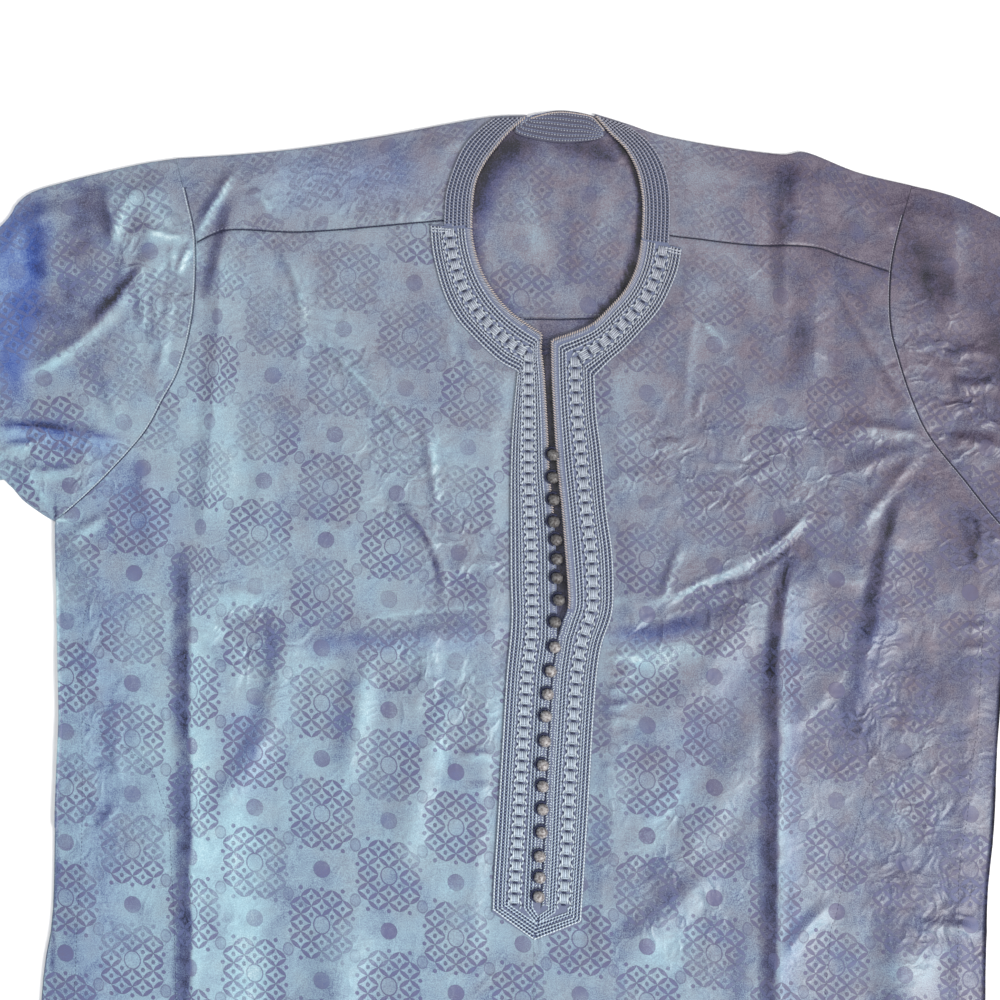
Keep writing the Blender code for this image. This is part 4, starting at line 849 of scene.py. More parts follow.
def bentGrid(name, across, down, bend, patternAt=(0, 0), closed=False, reverse=False):
    # A plain grid whose points are moved to the cloth's form. bend takes the grid's column and row
    # numbers and gives x, y, z and the spot on the flat cloth, all in millimetres.
    mesh = bpy.data.meshes.new(name)
    with reshaping(mesh) as bm:
        bmesh.ops.create_grid(bm, x_segments=across, y_segments=down, size=0.5)
        if reverse:
            bmesh.ops.reverse_faces(bm, faces=bm.faces)
    spots = spotsOf(mesh)
    column = np.rint((spots[:, 0] + 0.5) * across).astype(int)
    row = np.rint((0.5 - spots[:, 1]) * down).astype(int)
    x, y, z, flatX, flatY = bend(column, row)
    placed = np.stack([x + neckX, y + neckY, z], -1) * mm
    mesh.vertices.foreach_set("co", placed.ravel())
    corner = np.empty(len(mesh.loops), int)
    mesh.loops.foreach_get("vertex_index", corner)
    flat = np.stack([flatX - patternAt[0], flatY - patternAt[1]], -1)[corner] * mm
    mesh.uv_layers.new(name="flat").data.foreach_set("uv", flat.ravel())
    if closed:
        with reshaping(mesh) as bm:
            bmesh.ops.remove_doubles(bm, verts=bm.verts, dist=weldReach * mm)
    mesh.shade_smooth()
    with reshaping(mesh) as bm:      # the rim stays sharp, so that sheets laid edge to edge look like one
        for edge in bm.edges:
            edge.smooth = not edge.is_boundary
    return mesh


def spread(marks, counts):
    # numbers that pass each mark in turn, with so many steps between each pair
    return np.concatenate([
        np.linspace(a, b, count, endpoint=False) for a, b, count in zip(marks, marks[1:], counts)
    ] + [marks[-1:]])


frontPiece = {
    "rows": (96, 168, 40),              # beside the armhole, down the chest, down the skirt
    "skirtFrom": -520.0,
    "columns": {"left": (6, 84, 4, 12, 36, 2), "right": (6, 50, 12, 4, 62, 2)},
    "pleatSides": {"left": (5, -16), "right": (-17, 5)},
    "middleStrip": 14.0, "seamStrip": 2.4, "seamDip": 0.8,
    "seamReach": 1.5,                   # how soon the rows leave the seam's curve
    "patternAt": {"left": (-169.5, -273.8), "right": (124.5, -461.0)},
    "pleatTakes": 9.0, "patternFrom": 14.0, "patternFade": 26.0,        # cloth that the pleat hides
    "lean": {"left": (-189.0, 0.083, 0.05), "right": (-189.0, 0.0, 0.0)},   # above this, aside and down
}


def makeFront(name, material):
    settings, way = frontPiece, ways[name]
    seam = rightwards(smoothLine(frontSeam[name]))
    arm = hole[name][frontSeamMark * linePieces:] - (way * cloth["gap"] / 2, 0)
    slitLine = np.vstack([inner[name][:-1], [closedSlit[-1], trimTip, hemCentre]])
    if name == "left":
        slitLine = slitLine - (cloth["gap"] / 2, 0) * (slitLine[:, 1:] > trimTip[1] - 1)
    levels = [frontSeam[name][0][1], arm[-1, 1], settings["skirtFrom"], cloth["hem"]]
    innerY = spread(np.array(levels), settings["rows"])
    innerX = xAt(slitLine, innerY)
    armShare = np.arange(len(innerY)) / settings["rows"][0]
    onArm = alongLine(arm, np.minimum(armShare, 1))
    outerX = np.where(armShare < 1, onArm[:, 0], xAt(sideEdge[name], innerY))
    outerY = np.where(armShare < 1, onArm[:, 1], innerY)
    belowTrim = innerX + settings["middleStrip"] * way
    trimX = np.where(innerY < trimTip[1], belowTrim, xAt(trimEdge[name], innerY))
    pleatX = xAt(pleatLine[name], (innerY + outerY) / 2)
    first, second = settings["pleatSides"][name]
    beforeSeam = outerX - way * settings["seamStrip"]
    marks = np.stack([innerX, trimX, pleatX + first, pleatX, pleatX + second, beforeSeam, outerX])
    steps = spread(np.arange(float(len(marks))), settings["columns"][name])
    segment = np.minimum(steps.astype(int), len(marks) - 2)
    leanFrom, aside, down = settings["lean"][name]

    def bend(column, row):
        at, part = segment[column], steps[column] - segment[column]
        x = mix(marks[at, row], marks[at + 1, row], part)
        chord = mix(innerY[row], outerY[row], (x - innerX[row]) / (outerX[row] - innerX[row]))
        seamChord = mix(innerY[0], outerY[0], (x - innerX[0]) / (outerX[0] - innerX[0]))
        y = chord + (yAt(seam, x) - seamChord) * ease(1 - settings["seamReach"] * armShare[row])
        y = y - np.where(row == 0, cloth["gap"] / 2, 0)
        onSeam = (row == 0) | ((column == len(steps) - 1) & (armShare[row] <= 1))
        z = underside(x, y) + cloth["wall"] - np.where(onSeam, settings["seamDip"], 0)
        past = ease((way * (x - pleatX[row]) + settings["patternFrom"]) / settings["patternFade"])
        above = np.maximum(y - leanFrom, 0)
        return x, y, z, x + way * past * settings["pleatTakes"] - aside * above, y + down * above

    mesh = bentGrid(f"front_{name}_cloth", len(steps) - 1, len(innerY) - 1, bend,
                    settings["patternAt"][name], reverse=name == "left")
    return clothPiece(mesh, material)


backPiece = {
    "across": 48, "down": 70, "top": 1.4, "patternAt": (-13.0, -60.0),
    "peek": (1.5, -280.0, 60.0),        # how far it shows past the left side, from here down
}


def makeBack(material):
    edges, down, top = {}, backPiece["down"], backPiece["top"]
    for name, way in ways.items():
        arm = hole[name][backSeamMark * linePieces:] - (way * cloth["gap"] / 2, cloth["gap"] / 2)
        line = sideEdge[name].copy()
        if name == "left":
            reach, start, fade = backPiece["peek"]
            line[:, 0] -= reach * ease((start - line[:, 1]) / fade)
        edges[name] = alongLine(np.vstack([arm, line[1:]]), np.arange(down + 1) / down)

    def bend(column, row):
        share = (column / backPiece["across"])[:, None]
        x, y = mix(edges["left"][row], edges["right"][row], share).T
        return x, y, np.full(x.shape, top), x, y

    mesh = bentGrid("back_cloth", backPiece["across"], down, bend, backPiece["patternAt"])
    return clothPiece(mesh, material, top)


yokePiece = {
    "across": 84, "neckAcross": 16, "backRows": 22, "bendRows": 6, "frontRows": 44,
    "seamDip": 0.8, "cornerDip": 0.48, "patternAt": (-20.0, 30.0),
}


def yokePatch(settings, name):
    # One side of the yoke: up the back layer, round the shoulder fold and down to the front seam.
    way, across = ways[name], settings["across"]
    half, wall, under = cloth["gap"] / 2, cloth["wall"], cloth["under"]
    share = np.arange(across + 1) / across
    arm = hole[name] - (way * half, 0)
    seam = smoothLine(frontSeam[name])
    fold, seamSpots = alongLine(smoothLine(shoulder[name]), share), alongLine(seam, share)
    neckSide = inner[name][inner[name][:, 1] >= frontSeam[name][0][1] - 0.1]
    neckSide = np.vstack([neckSide, seam[:1]])
    armFront, armBack = (arm[:mark * linePieces + 1] for mark in (frontSeamMark, backSeamMark))
    backEnds = {side: line[backSeamMark * linePieces] for side, line in hole.items()}
    whole = (fold[:, 0] - hole["left"][0, 0]) / (hole["right"][0, 0] - hole["left"][0, 0])
    backSpots = mix(backEnds["left"], backEnds["right"], whole[:, None]) + (0, half)
    backRows, bendRows, frontRows = settings["backRows"], settings["bendRows"], settings["frontRows"]
    bulge = (under + wall) / 2

    def patch(low, high, nearEdge, farEdge, t, s=share[:, None]):
        # between four edges: low and high are run along by s, nearEdge and farEdge by t
        straight = mix(low, high, t) + mix(nearEdge, farEdge, s)
        return straight - mix(mix(low[0], high[0], t), mix(low[-1], high[-1], t), s)

    def bend(column, row):
        x, y, z, flatY = (np.zeros(column.shape) for _ in range(4))
        for at in range(backRows + bendRows + frontRows + 1):
            here = row == at
            col = column[here]
            if at <= backRows:
                t = at / backRows
                neckEnd, armEnd = mix(backSpots[0], fold[0], t), alongLine(armBack[::-1], t)
                line = patch(backSpots, fold, neckEnd, armEnd, t)
                heights, flats = np.zeros(across + 1), line[:, 1]
            elif at < backRows + bendRows:
                angle = math.pi * (at - backRows) / bendRows
                line = fold + (0, bulge * math.sin(angle))
                heights = np.full(across + 1, bulge * (1 - math.cos(angle)))
                flats = fold[:, 1] + bulge * angle
            else:
                t = (at - backRows - bendRows) / frontRows
                line = patch(fold, seamSpots, alongLine(neckSide, t), alongLine(armFront, t), t)
                line = line + (0, half if t == 1 else 0)
                heights = underside(line[:, 0], line[:, 1]) + wall - settings["seamDip"] * (t == 1)
                heights[-1] -= settings["cornerDip"]
                flats = 2 * fold[:, 1] + bulge * math.pi - line[:, 1]
            x[here], y[here], z[here], flatY[here] = line[col, 0], line[col, 1], heights[col], flats[col]
        return x, y, z, x, flatY

    return bend, backSpots[0], backRows + bendRows + frontRows


def makeYoke(material):
    settings, starts = yokePiece, {}
    neck = smoothLine(backNeck)

    def neckBend(column, row):
        share, t = (column / settings["neckAcross"])[:, None], (row / settings["backRows"])[:, None]
        x, y = mix(mix(starts["left"], starts["right"], share), alongLine(neck, share[:, 0]), t).T
        return x, y, np.zeros(len(x)), x, y

    mesh, at = bpy.data.meshes.new("yoke_cloth"), settings["patternAt"]
    with reshaping(mesh) as joined:
        for name in ways:
            bend, starts[name], down = yokePatch(settings, name)
            half = bentGrid(f"yoke_{name}", settings["across"], down, bend, at, reverse=name == "left")
            joined.from_mesh(half)
        joined.from_mesh(bentGrid("yoke_neck", settings["neckAcross"], settings["backRows"], neckBend, at))
        bmesh.ops.remove_doubles(joined, verts=joined.verts, dist=weldReach * mm)
    mesh.shade_smooth()
    return clothPiece(mesh, material)


sleevePiece = {
    "across": 104, "bend": 4, "stations": 108, "crowding": 1.8, "seamDip": 0.8,
    "bowReach": 1.6,                    # how soon the stations leave the armhole's curve
    "upperFrom": 2.5,                   # the upper layer is above this height
    "patternAt": {"left": (-388.0, 10.0), "right": (350.0, 40.0)},
    "patternTurn": {"left": 14.0, "right": -10.0},
}


def makeSleeve(name, material):
    settings = sleevePiece
    across, turnSteps, stations = settings["across"], settings["bend"], settings["stations"]
    arm = hole[name] + (ways[name] * cloth["gap"] / 2, 0)
    shares = np.arange(across + 1) / across
    armSpots = alongLine(arm, shares)
    chord = mix(arm[0], arm[-1], shares[:, None])
    t = (np.arange(stations + 1) / stations) ** settings["crowding"]
    top, low = alongLine(topFold[name], t), alongLine(lowFold[name], t)
    bulge = (cloth["under"] + cloth["wall"]) / 2
    around = 2 * (across + turnSteps)
    turn = math.radians(settings["patternTurn"][name])
    cos, sin = math.cos(turn), math.sin(turn)
    patternX, patternY = settings["patternAt"][name]

    def bend(column, row):
        # round the sleeve: upper layer, fold at the underarm, lower layer, fold at the top
        column = column % around
        upper = column <= across
        turning = ~upper & ~((column >= across + turnSteps) & (column <= 2 * across + turnSteps))
        atLow = turning & (column < across + turnSteps)
        share = np.where(upper, column / across, (2 * across + turnSteps - column) / across)
        share = np.clip(np.where(turning, np.where(atLow, 1.0, 0.0), share), 0, 1)
        bow = ease(1 - settings["bowReach"] * t[row])[:, None]
        index = np.rint(share * across).astype(int)
        spot = mix(top[row], low[row], share[:, None]) + bow * (armSpots[index] - chord[index])
        x, y = spot.T
        z = np.where(upper, underside(x, y) + cloth["wall"], 0.0)
        angle = math.pi * np.where(atLow, column - across, around - column) / turnSteps
        outwards = top[row] - low[row]
        outwards = outwards / np.hypot(*outwards.T)[:, None] * np.where(atLow, -1, 1)[:, None]
        x, y = (spot + outwards * np.where(turning, bulge * np.sin(angle), 0)[:, None]).T
        z = np.where(turning, bulge * (1 + np.cos(angle)), z)
        z = z - np.where((row == 0) & upper, settings["seamDip"], 0)
        offX, offY = x - patternX, y - patternY
        return x, y, z, offX * cos + offY * sin, offY * cos - offX * sin

    mesh = bentGrid(f"sleeve_{name}_cloth", around, stations, bend, closed=True)
    with reshaping(mesh) as bm:
        bmesh.ops.recalc_face_normals(bm, faces=bm.faces)
    above = settings["upperFrom"] * mm
    if sum(face.normal.z * face.area for face in mesh.polygons if face.center.z > above) < 0:
        mesh.flip_normals()
    return clothPiece(mesh, material)


wideBraid = {
    "thick": 1.4, "pitch": 2.5, "stations": 260, "across": 14,
    # rows: share of the width from the outer edge, distance kept from the pointed end
    "cords": ((0.03, 0.8), (0.115, 3.4), (0.2, 6.0), (0.26, 8.6), (0.34, 11.2), (0.672, 11.2),
              (0.75, 13.6), (0.825, 16.0)),
    "dots": ((0.072, 2.1), (0.158, 4.7), (0.23, 7.3), (0.3, 9.9), (0.711, 12.4), (0.788, 14.8)),
    "tipOnly": (0.3, 0.34),             # rows that only run round the pointed end
    "capLevels": (1.0, 3.4),            # two cords across the braid's upper end
    "ladder": 0.46, "ladderEnds": -4.5, "rung": {"left": 8.3, "right": 9.2},
    "edge": 0.925, "edgeEnds": 7.0, "lip": 0.985, "join": 1.0, "overlap": 0.9,
    "neckFrom": 8.0, "openFrom": -205.0, "curledTo": -140.0,
    "tipSteps": 14, "tipInset": 0.03, "tipReach": (0.985, 0.93),    # how near the edges come to the point
    # height of the plain ground under the stitches, across the width
    "ground": ((0, 0.0), (0.03, 0.35), (0.08, 0.1), (0.17, 0.25), (0.25, 0.0), (0.6, 0.0), (0.72, 0.25),
               (0.8, 0.1), (0.86, 0.3), (0.97, 0.2), (1, 0.0)),
}
narrowBraid = {
    "thick": 1.4, "pitch": 2.3, "stations": 50, "across": 14,
    "cords": (0.03, 0.175, 0.32, 0.465, 0.61, 0.755, 0.87), "dots": (0.1, 0.25, 0.395, 0.54, 0.685, 0.815),
    "edge": 0.95, "lip": 0.98, "above": 0.6,
    "ground": ((0, 0.0), (0.05, 0.4), (0.12, 0.1), (0.3, 0.25), (0.6, 0.25), (0.9, 0.25), (1, 0.0)),
}
# painted light: each thread's colour as lit at the lower left and as shaded at the upper right
threadLitAndShaded = {
    "pale": ((0.42, 0.53, 0.62), (0.34, 0.34, 0.38)), "grey": ((0.33, 0.41, 0.50), (0.27, 0.26, 0.31)),
    "white": ((0.54, 0.64, 0.70), (0.31, 0.32, 0.36)), "blue": ((0.24, 0.33, 0.52), (0.12, 0.125, 0.19)),
    "warm": ((0.42, 0.37, 0.34), (0.40, 0.34, 0.31)), "dark": ((0.015, 0.022, 0.08), (0.012, 0.012, 0.026)),
}


def braidEdges(name, levels, outerLine, stations):
    # matching points on the outer and inner edges, evenly apart
    levels = np.array(levels, float)
    walked = np.concatenate([[0], np.cumsum(np.abs(np.diff(levels, axis=0)).max(axis=1))])
    at = np.linspace(0, walked[-1], stations + 1)
    innerY, outerY = (np.interp(at, walked, column) for column in levels.T)
    return np.stack([xAt(outerLine, outerY), outerY], -1), np.stack([xAt(inner[name], innerY), innerY], -1)


def trimEdges(name):
    # heights of matching points on the inner and the outer edge, from the neck to the slit's end
    levels = [
        trimStart[name], (34.0, 12.0), (slitEdge[name][0][1], trimSlit[name][0][1]), (-58.5, -58.5),
        (-222.0, -222.0), (closedSlit[-1][1], trimEdge[name][-1, 1]),
    ]
    return braidEdges(name, levels, trimEdge[name], wideBraid["stations"])


groundSink, groundThinner, rowApart = 0.35, 0.5, 2.0


def ribbon(name, outer, innerLine, settings, material):
    # the braid's plain ground
    across, ground = settings["across"], np.array(settings["ground"])

    def bend(column, row):
        share = column / across
        x, y = mix(outer[row], innerLine[row], share[:, None]).T
        z = braidTop(x, y) + settings["thick"] - groundSink + np.interp(share, *ground.T)
        return x, y, z, share * np.hypot(*(innerLine - outer)[row].T), -row * rowApart

    mesh = bentGrid(name, across, len(outer) - 1, bend, reverse=outer[0, 0] > innerLine[0, 0])
    return thickPiece(mesh, material, "braid", settings["thick"] - groundThinner)


def unit(way):
    return way / np.hypot(*way.T)[..., None]


def paced(line, pitch, look=0.4):
    # evenly spaced spots on a line, with its direction at each
    length = lineLength(line)
    at = (np.arange(max(1, int(length / pitch))) + 0.5) * pitch / length
    at = at[at < 1]
    step = look / length
    ahead = alongLine(line, np.minimum(at + step, 1)) - alongLine(line, np.maximum(at - step, 0))
    return alongLine(line, at), unit(ahead)


def turned(direction, degrees):
    angle = np.radians(degrees)
    cos, sin = np.cos(angle), np.sin(angle)
    x, y = direction.T
    return np.stack([x * cos - y * sin, x * sin + y * cos], -1)


def sideways(direction):
    return np.stack([-direction[:, 1], direction[:, 0]], -1)


class Stitches:
    # collects many small stitches, then joins them into one mesh
    def __init__(self, surface):
        self.surface, self.rows = surface, []

    def add(self, spots, direction, size, tint, lift=0.0):
        # size: length, width and height of each stitch
        x, y = spots.T
        # painted light: the thread's lit and shaded colours, mixed by place
        colours = mix(*np.array(threadLitAndShaded[tint]), paintedWarmthAt(x, y)[:, None])
        heights, sizes = (self.surface(x, y) + lift)[:, None], np.tile(size, (len(spots), 1))
        self.rows.append(np.concatenate([spots, heights, direction, sizes, colours], axis=1))

    def row(self, line, pitch, size, tint, lift=0.0, slant=0.0, keep=slice(None)):
        # stitches at an even pitch, each slanted by so many degrees
        spots, direction = paced(line, pitch)
        self.add(spots[keep], turned(direction, slant)[keep], size, tint, lift)

    def build(self, name, material, slotName="braid"):
        shape = bmesh.new()
        bmesh.ops.create_icosphere(shape, subdivisions=1, radius=0.5)
        form = np.array([vertex.co[:] for vertex in shape.verts])
        corners = np.array([[vertex.index for vertex in face.verts] for face in shape.faces])
        shape.free()
        rows = np.concatenate(self.rows)
        middle, ahead, size, tint = rows[:, :3], rows[:, 3:5], rows[:, 5:8], rows[:, 8:]
        along, wide, high = (form[None] * size[:, None]).transpose(2, 0, 1)
        flat = along[..., None] * ahead[:, None] + wide[..., None] * sideways(ahead)[:, None]
        spots = middle[:, None] + np.concatenate([flat, high[..., None]], -1)
        spots = (spots + (neckX, neckY, 0)).reshape(-1, 3) * mm
        faces = (corners[None] + (np.arange(len(rows)) * len(form))[:, None, None]).reshape(-1, 3)
        mesh = bpy.data.meshes.new(name)
        mesh.from_pydata(spots.tolist(), [], faces.tolist())
        shade = 0.88 + 0.24 * ((np.arange(len(rows)) * 0.618) % 1)       # no two neighbours are quite alike
        colours = np.concatenate([tint * shade[:, None], np.ones((len(rows), 1))], 1)
        stored = mesh.color_attributes.new("thread", "FLOAT_COLOR", "POINT")
        stored.data.foreach_set("color", np.repeat(colours, len(form), axis=0).ravel())
        mesh.shade_smooth()
        print(name, len(rows), "stitches")
        return newPiece(mesh, material, slotName)


def cordRow(stitches, line, pitch, tint, width=1.5, lift=0.2):
    stitches.row(line, pitch, (pitch * 1.3, width, 1.2), tint, lift, slant=9)


def dotRow(stitches, line, pitch):
    # the dark holes that the needle leaves between two cords: near-black stitches as painted shade in the holes
    spots, direction = paced(line, pitch)
    stitches.add(spots, direction, (pitch * 0.66, 1.5, 1.0), "dark", 0.42)
    stitches.add(spots + direction * pitch / 2, direction, (pitch * 0.44, 1.1, 0.8), "blue", 0.2)


def edgeRow(stitches, line, width, pitch=1.35):
    stitches.row(line, pitch, (width, 1.0, 1.2), "grey", 0.1, slant=68)


def whipRow(stitches, line):
    # slanted threads wound over an edge
    stitches.row(line, 1.9, (3.2, 1.1, 1.3), "warm", 0.3, slant=52)


knots = {"pitch": 1.9, "apart": 1.3, "size": (2.5, 1.0, 1.3), "turn": (50, 25, 2.4), "stray": (0.3, 1.7)}


def knotRow(stitches, line):
    # two rows of stitches that cross unevenly
    spots, direction = paced(line, knots["pitch"])
    count = np.arange(len(spots))
    middle, swing, rate = knots["turn"]
    angle = middle + swing * np.sin(count * rate)
    reach, rate = knots["stray"]
    for way in ways.values():
        offset = sideways(direction) * (way * knots["apart"] + reach * np.sin(count * rate))[:, None]
        stitches.add(spots + offset, turned(direction, way * angle), knots["size"], "white", 0.2)


# The ladder's stitches, in millimetres from a block's middle or from the dark bar that follows it.
ladder = {
    "threads": ((-2.8, "white"), (-1.4, "grey"), (0.0, "pale"), (1.4, "grey"), (2.8, "white")),
    "thread": (1.6, 1.0), "overlap": 1.02,
    # painted shade: the near-black bar stands for the shade in the gap between blocks
    "bars": ((0.0, (4.4, 1.4, 1.0), "dark", 0.5), (-1.7, (6.2, 1.1, 1.1), "pale", 0.15)),
    # at both sides: aside, ahead, turned by, size, thread, lift; the dark one is painted shade
    "loops": ((4.5, -1.8, 24, (4.2, 1.5, 1.3), "white", 0.1), (4.5, 1.8, -24, (4.2, 1.5, 1.3), "pale", 0.1),
              (5.9, 0.0, 0, (2.4, 1.3, 1.0), "dark", 0.35)),
    # painted shade: near-black holes at both sides
    "holes": (4.0, (2.2, 1.0, 1.0), "dark", 0.42),
}


def ladderRow(stitches, line, rung):
    # blocks of long threads with a dark bar between them, looped in at both sides; the dark bar and holes are painted
    # shade
    spots, direction = paced(line, rung)
    across = sideways(direction)
    for step, tint in ladder["threads"]:
        size = (rung * ladder["overlap"], *ladder["thread"])
        stitches.add(spots + across * step, direction, size, tint)
    gap = spots + direction * rung * 0.5
    for ahead, size, tint, lift in ladder["bars"]:
        stitches.add(gap + direction * ahead, across, size, tint, lift)
    for way in ways.values():
        side = across * way
        for aside, ahead, turn, size, tint, lift in ladder["loops"]:
            at = gap + side * aside + direction * ahead
            stitches.add(at, turned(direction, way * turn), size, tint, lift)
        aside, size, tint, lift = ladder["holes"]
        stitches.add(spots + side * aside, direction, size, tint, lift)


def pointedRow(outer, innerLine, share, keep):
    # a row down the braid and round its pointed end, keeping its distance from the point
    line = mix(outer, innerLine, share)
    corner, tip = outer[-1], np.array(trimTip)
    edge = unit(tip - corner)
    upward = np.array([-edge[1], edge[0]])
    upward = upward if upward[1] > 0 else -upward
    above = line[(line - corner) @ upward > keep]
    if share in wideBraid["tipOnly"]:
        above = above[-3:]
    rise = unit(np.array(closedSlit[-1]) - tip)
    end = tip + rise * keep / (rise @ upward)
    return np.vstack([above, end + unit(end - above[-1]) * wideBraid["overlap"]])


def lengthened(line, reach):
    # the same line, begun a little earlier
    return np.vstack([line[0] + unit(line[0] - line[1]) * reach, line])


def braidStitches(settings):
    return Stitches(lambda x, y: braidTop(x, y) + settings["thick"] - 0.1)


def makeTrim(name, groundMaterial, threadMaterial):
    outer, innerLine = trimEdges(name)
    settings, way, corner = wideBraid, ways[name], outer[-1]
    ends = np.linspace(0, 1, settings["tipSteps"])[1:, None]
    tipSpot = np.array(trimTip) + (way * settings["tipInset"], 0)
    outerReach, innerReach = settings["tipReach"]
    outerAll = np.vstack([outer, mix(corner, tipSpot, ends * outerReach)])
    innerAll = np.vstack([innerLine, mix(innerLine[-1] - (way * closedGap, 0), tipSpot, ends * innerReach)])
    outerAll, innerAll = (lengthened(line, settings["join"] / 2) for line in (outerAll, innerAll))
    base = ribbon(f"trim_{name}_ground", outerAll, innerAll, settings, groundMaterial)
    stitches, pitch = braidStitches(settings), settings["pitch"]
    for at, (share, keep) in enumerate(settings["cords"]):
        cordRow(stitches, pointedRow(outer, innerLine, share, keep), pitch, "pale" if at else "white")
    for share, keep in settings["dots"]:
        dotRow(stitches, pointedRow(outer, innerLine, share, keep), pitch)
    for level in settings["capLevels"]:
        row = np.searchsorted(-outer[:, 1], level - outer[0, 1])
        cap = mix(outer[row], innerLine[row], np.linspace(0.02, 0.5, 8)[:, None])
        cordRow(stitches, cap, pitch, "pale", lift=0.35)
    rungs = mix(outer, innerLine, settings["ladder"])
    ladderRow(stitches, rungs[rungs[:, 1] > corner[1] + settings["ladderEnds"]], settings["rung"][name])
    edge = mix(outer, innerLine, settings["edge"])
    edge = edge[edge[:, 1] > corner[1] + settings["edgeEnds"]]
    neck, opened = edge[:, 1] > settings["neckFrom"], edge[:, 1] > settings["openFrom"]
    edgeRow(stitches, edge[neck], 4.8, pitch=1.25)
    edgeRow(stitches, edge[opened & ~neck], 3.4)
    knotRow(stitches, edge[~opened])
    lip = mix(outer, innerLine, settings["lip"])
    lipEnd = settings["curledTo"] if name == "left" else settings["openFrom"]
    whipRow(stitches, lip[lip[:, 1] > lipEnd])
    if name == "right":      # painted shadow: a near-black cord for the shade in the slit between the two halves
        shut = innerLine[innerLine[:, 1] < settings["openFrom"]] - (0.5, 0)
        cordRow(stitches, shut, pitch, "dark", 0.9)
    return base, stitches.build(f"trim_{name}_threads", threadMaterial)


def makeNeckBand(name, groundMaterial, threadMaterial):
    settings = narrowBraid
    levels = [[line[name][0, 1] - settings["above"] for line in (inner, band)], bandStart[name]]
    edges = braidEdges(name, levels, band[name], settings["stations"])
    outer, innerLine = (lengthened(line[::-1], wideBraid["join"])[::-1] for line in edges)
    base = ribbon(f"neck_band_{name}_ground", outer, innerLine, settings, groundMaterial)
    stitches = braidStitches(settings)
    for share in settings["cords"]:
        cordRow(stitches, mix(outer, innerLine, share), settings["pitch"], "grey", 1.25)
    for share in settings["dots"]:
        dotRow(stitches, mix(outer, innerLine, share), settings["pitch"])
    edgeRow(stitches, mix(outer, innerLine, settings["edge"]), 2.0)
    whipRow(stitches, mix(outer, innerLine, settings["lip"]))
    return base, stitches.build(f"neck_band_{name}_threads", threadMaterial)


backBandPiece = {
    "rows": 6, "pitch": 2.2, "top": 1.2, "across": 10, "stations": 40, "firstRow": 0.6, "shortest": 6.0,
    "stitch": (1.5, 0.8, 0.9), "rimPitch": 1.6, "corner": 5,        # the outline's corner on the right
}


def makeBackBand(groundMaterial, threadMaterial):
    settings, corner = backBandPiece, backBandPiece["corner"]
    upper, lower = smoothLine(backBand[:corner + 1]), smoothLine(backBand[corner:] + backBand[:1])[::-1]
    shares = np.linspace(0, 1, settings["stations"] + 1)
    outer, innerLine = alongLine(upper, shares), alongLine(lower, shares)
    floor = cloth["under"] + settings["top"]

    def bend(column, row):
        x, y = mix(outer[row], innerLine[row], (column / settings["across"])[:, None]).T
        return x, y, np.full(len(x), floor), x, y

    mesh = bentGrid("back_neck_band_ground", settings["across"], settings["stations"], bend)
    if mesh.polygons[0].normal.z < 0:
        mesh.flip_normals()
    base = thickPiece(mesh, groundMaterial, "braid", settings["top"] - 0.1)
    stitches = Stitches(lambda x, y: np.full(x.shape, floor))
    for at in range(settings["rows"]):
        line = mix(outer, innerLine, (at + settings["firstRow"]) / settings["rows"])[1:-1]
        if lineLength(line) > settings["shortest"]:
            stitches.row(line, settings["pitch"], settings["stitch"], "white", 0.05)
            cordRow(stitches, line + (0, 1.2), settings["pitch"], "blue", 1.1, 0.0)
    cordRow(stitches, outer[1:-1] - (0, 0.7), settings["rimPitch"], "warm", 1.3)
    return base, stitches.build("back_neck_band_threads", threadMaterial)


buttonPiece = {
    "radius": 4.2, "around": 36, "high": 16, "ribs": 4, "rib": 0.12, "twist": 2.6, "turn": 0.9,
    # painted shade: the buttons up to this number take a darker copy of the thread
    "foot": -1.5, "height": 7.7, "shaded": 9,         # the first buttons lie in shade
    "loopAt": (-0.9, 0.8, 6.4), "loopRadius": 4.7, "loopArc": (62, 250, 11), "loopStitch": (1.6, 2.3, 2.3),
}


def makeButton(index, spot, material):
    settings, radius = buttonPiece, buttonPiece["radius"]
    mesh = bpy.data.meshes.new(f"button_{index:02d}_ball")
    with reshaping(mesh) as bm:
        around, high = settings["around"], settings["high"]
        bmesh.ops.create_uvsphere(bm, u_segments=around, v_segments=high, radius=radius)
        for vertex in bm.verts:
            level = vertex.co.z / radius
            twist = math.atan2(vertex.co.y, vertex.co.x) * settings["ribs"] + level * settings["twist"]
            vertex.co *= 1 + settings["rib"] * (abs(math.sin(twist)) - 0.5) * (1 - level**4)
            vertex.co.z = max(vertex.co.z, settings["foot"])
        spin = Matrix.Rotation(index * settings["turn"], 3, "Z")
        bmesh.ops.rotate(bm, cent=(0, 0, 0), matrix=spin, verts=bm.verts)
        bmesh.ops.scale(bm, vec=(mm, mm, mm), verts=bm.verts)
        at = ((spot[0] + neckX) * mm, (spot[1] + neckY) * mm, settings["height"] * mm)
        bmesh.ops.translate(bm, vec=at, verts=bm.verts)
        bmesh.ops.remove_doubles(bm, verts=bm.verts, dist=0.01 * mm)
    mesh.shade_smooth()
    return newPiece(mesh, material, "button_thread")


def makeLoopsAndShadows(material):
    # a thread loop from the right edge round the foot of each button; near-black and set to the upper left, it is also
    # the buttons' painted shadow
    settings = buttonPiece
    aside, ahead, height = settings["loopAt"]
    stitches = Stitches(lambda x, y: np.full(x.shape, height))
    angle = np.radians(np.arange(*settings["loopArc"]))
    outwards = np.stack([np.cos(angle), np.sin(angle)], -1)
    for spot in buttons:
        ring = outwards * settings["loopRadius"] + (spot[0] + aside, spot[1] + ahead)
        stitches.add(ring, sideways(outwards), settings["loopStitch"], "dark")
    return stitches.build("button_loops", material)


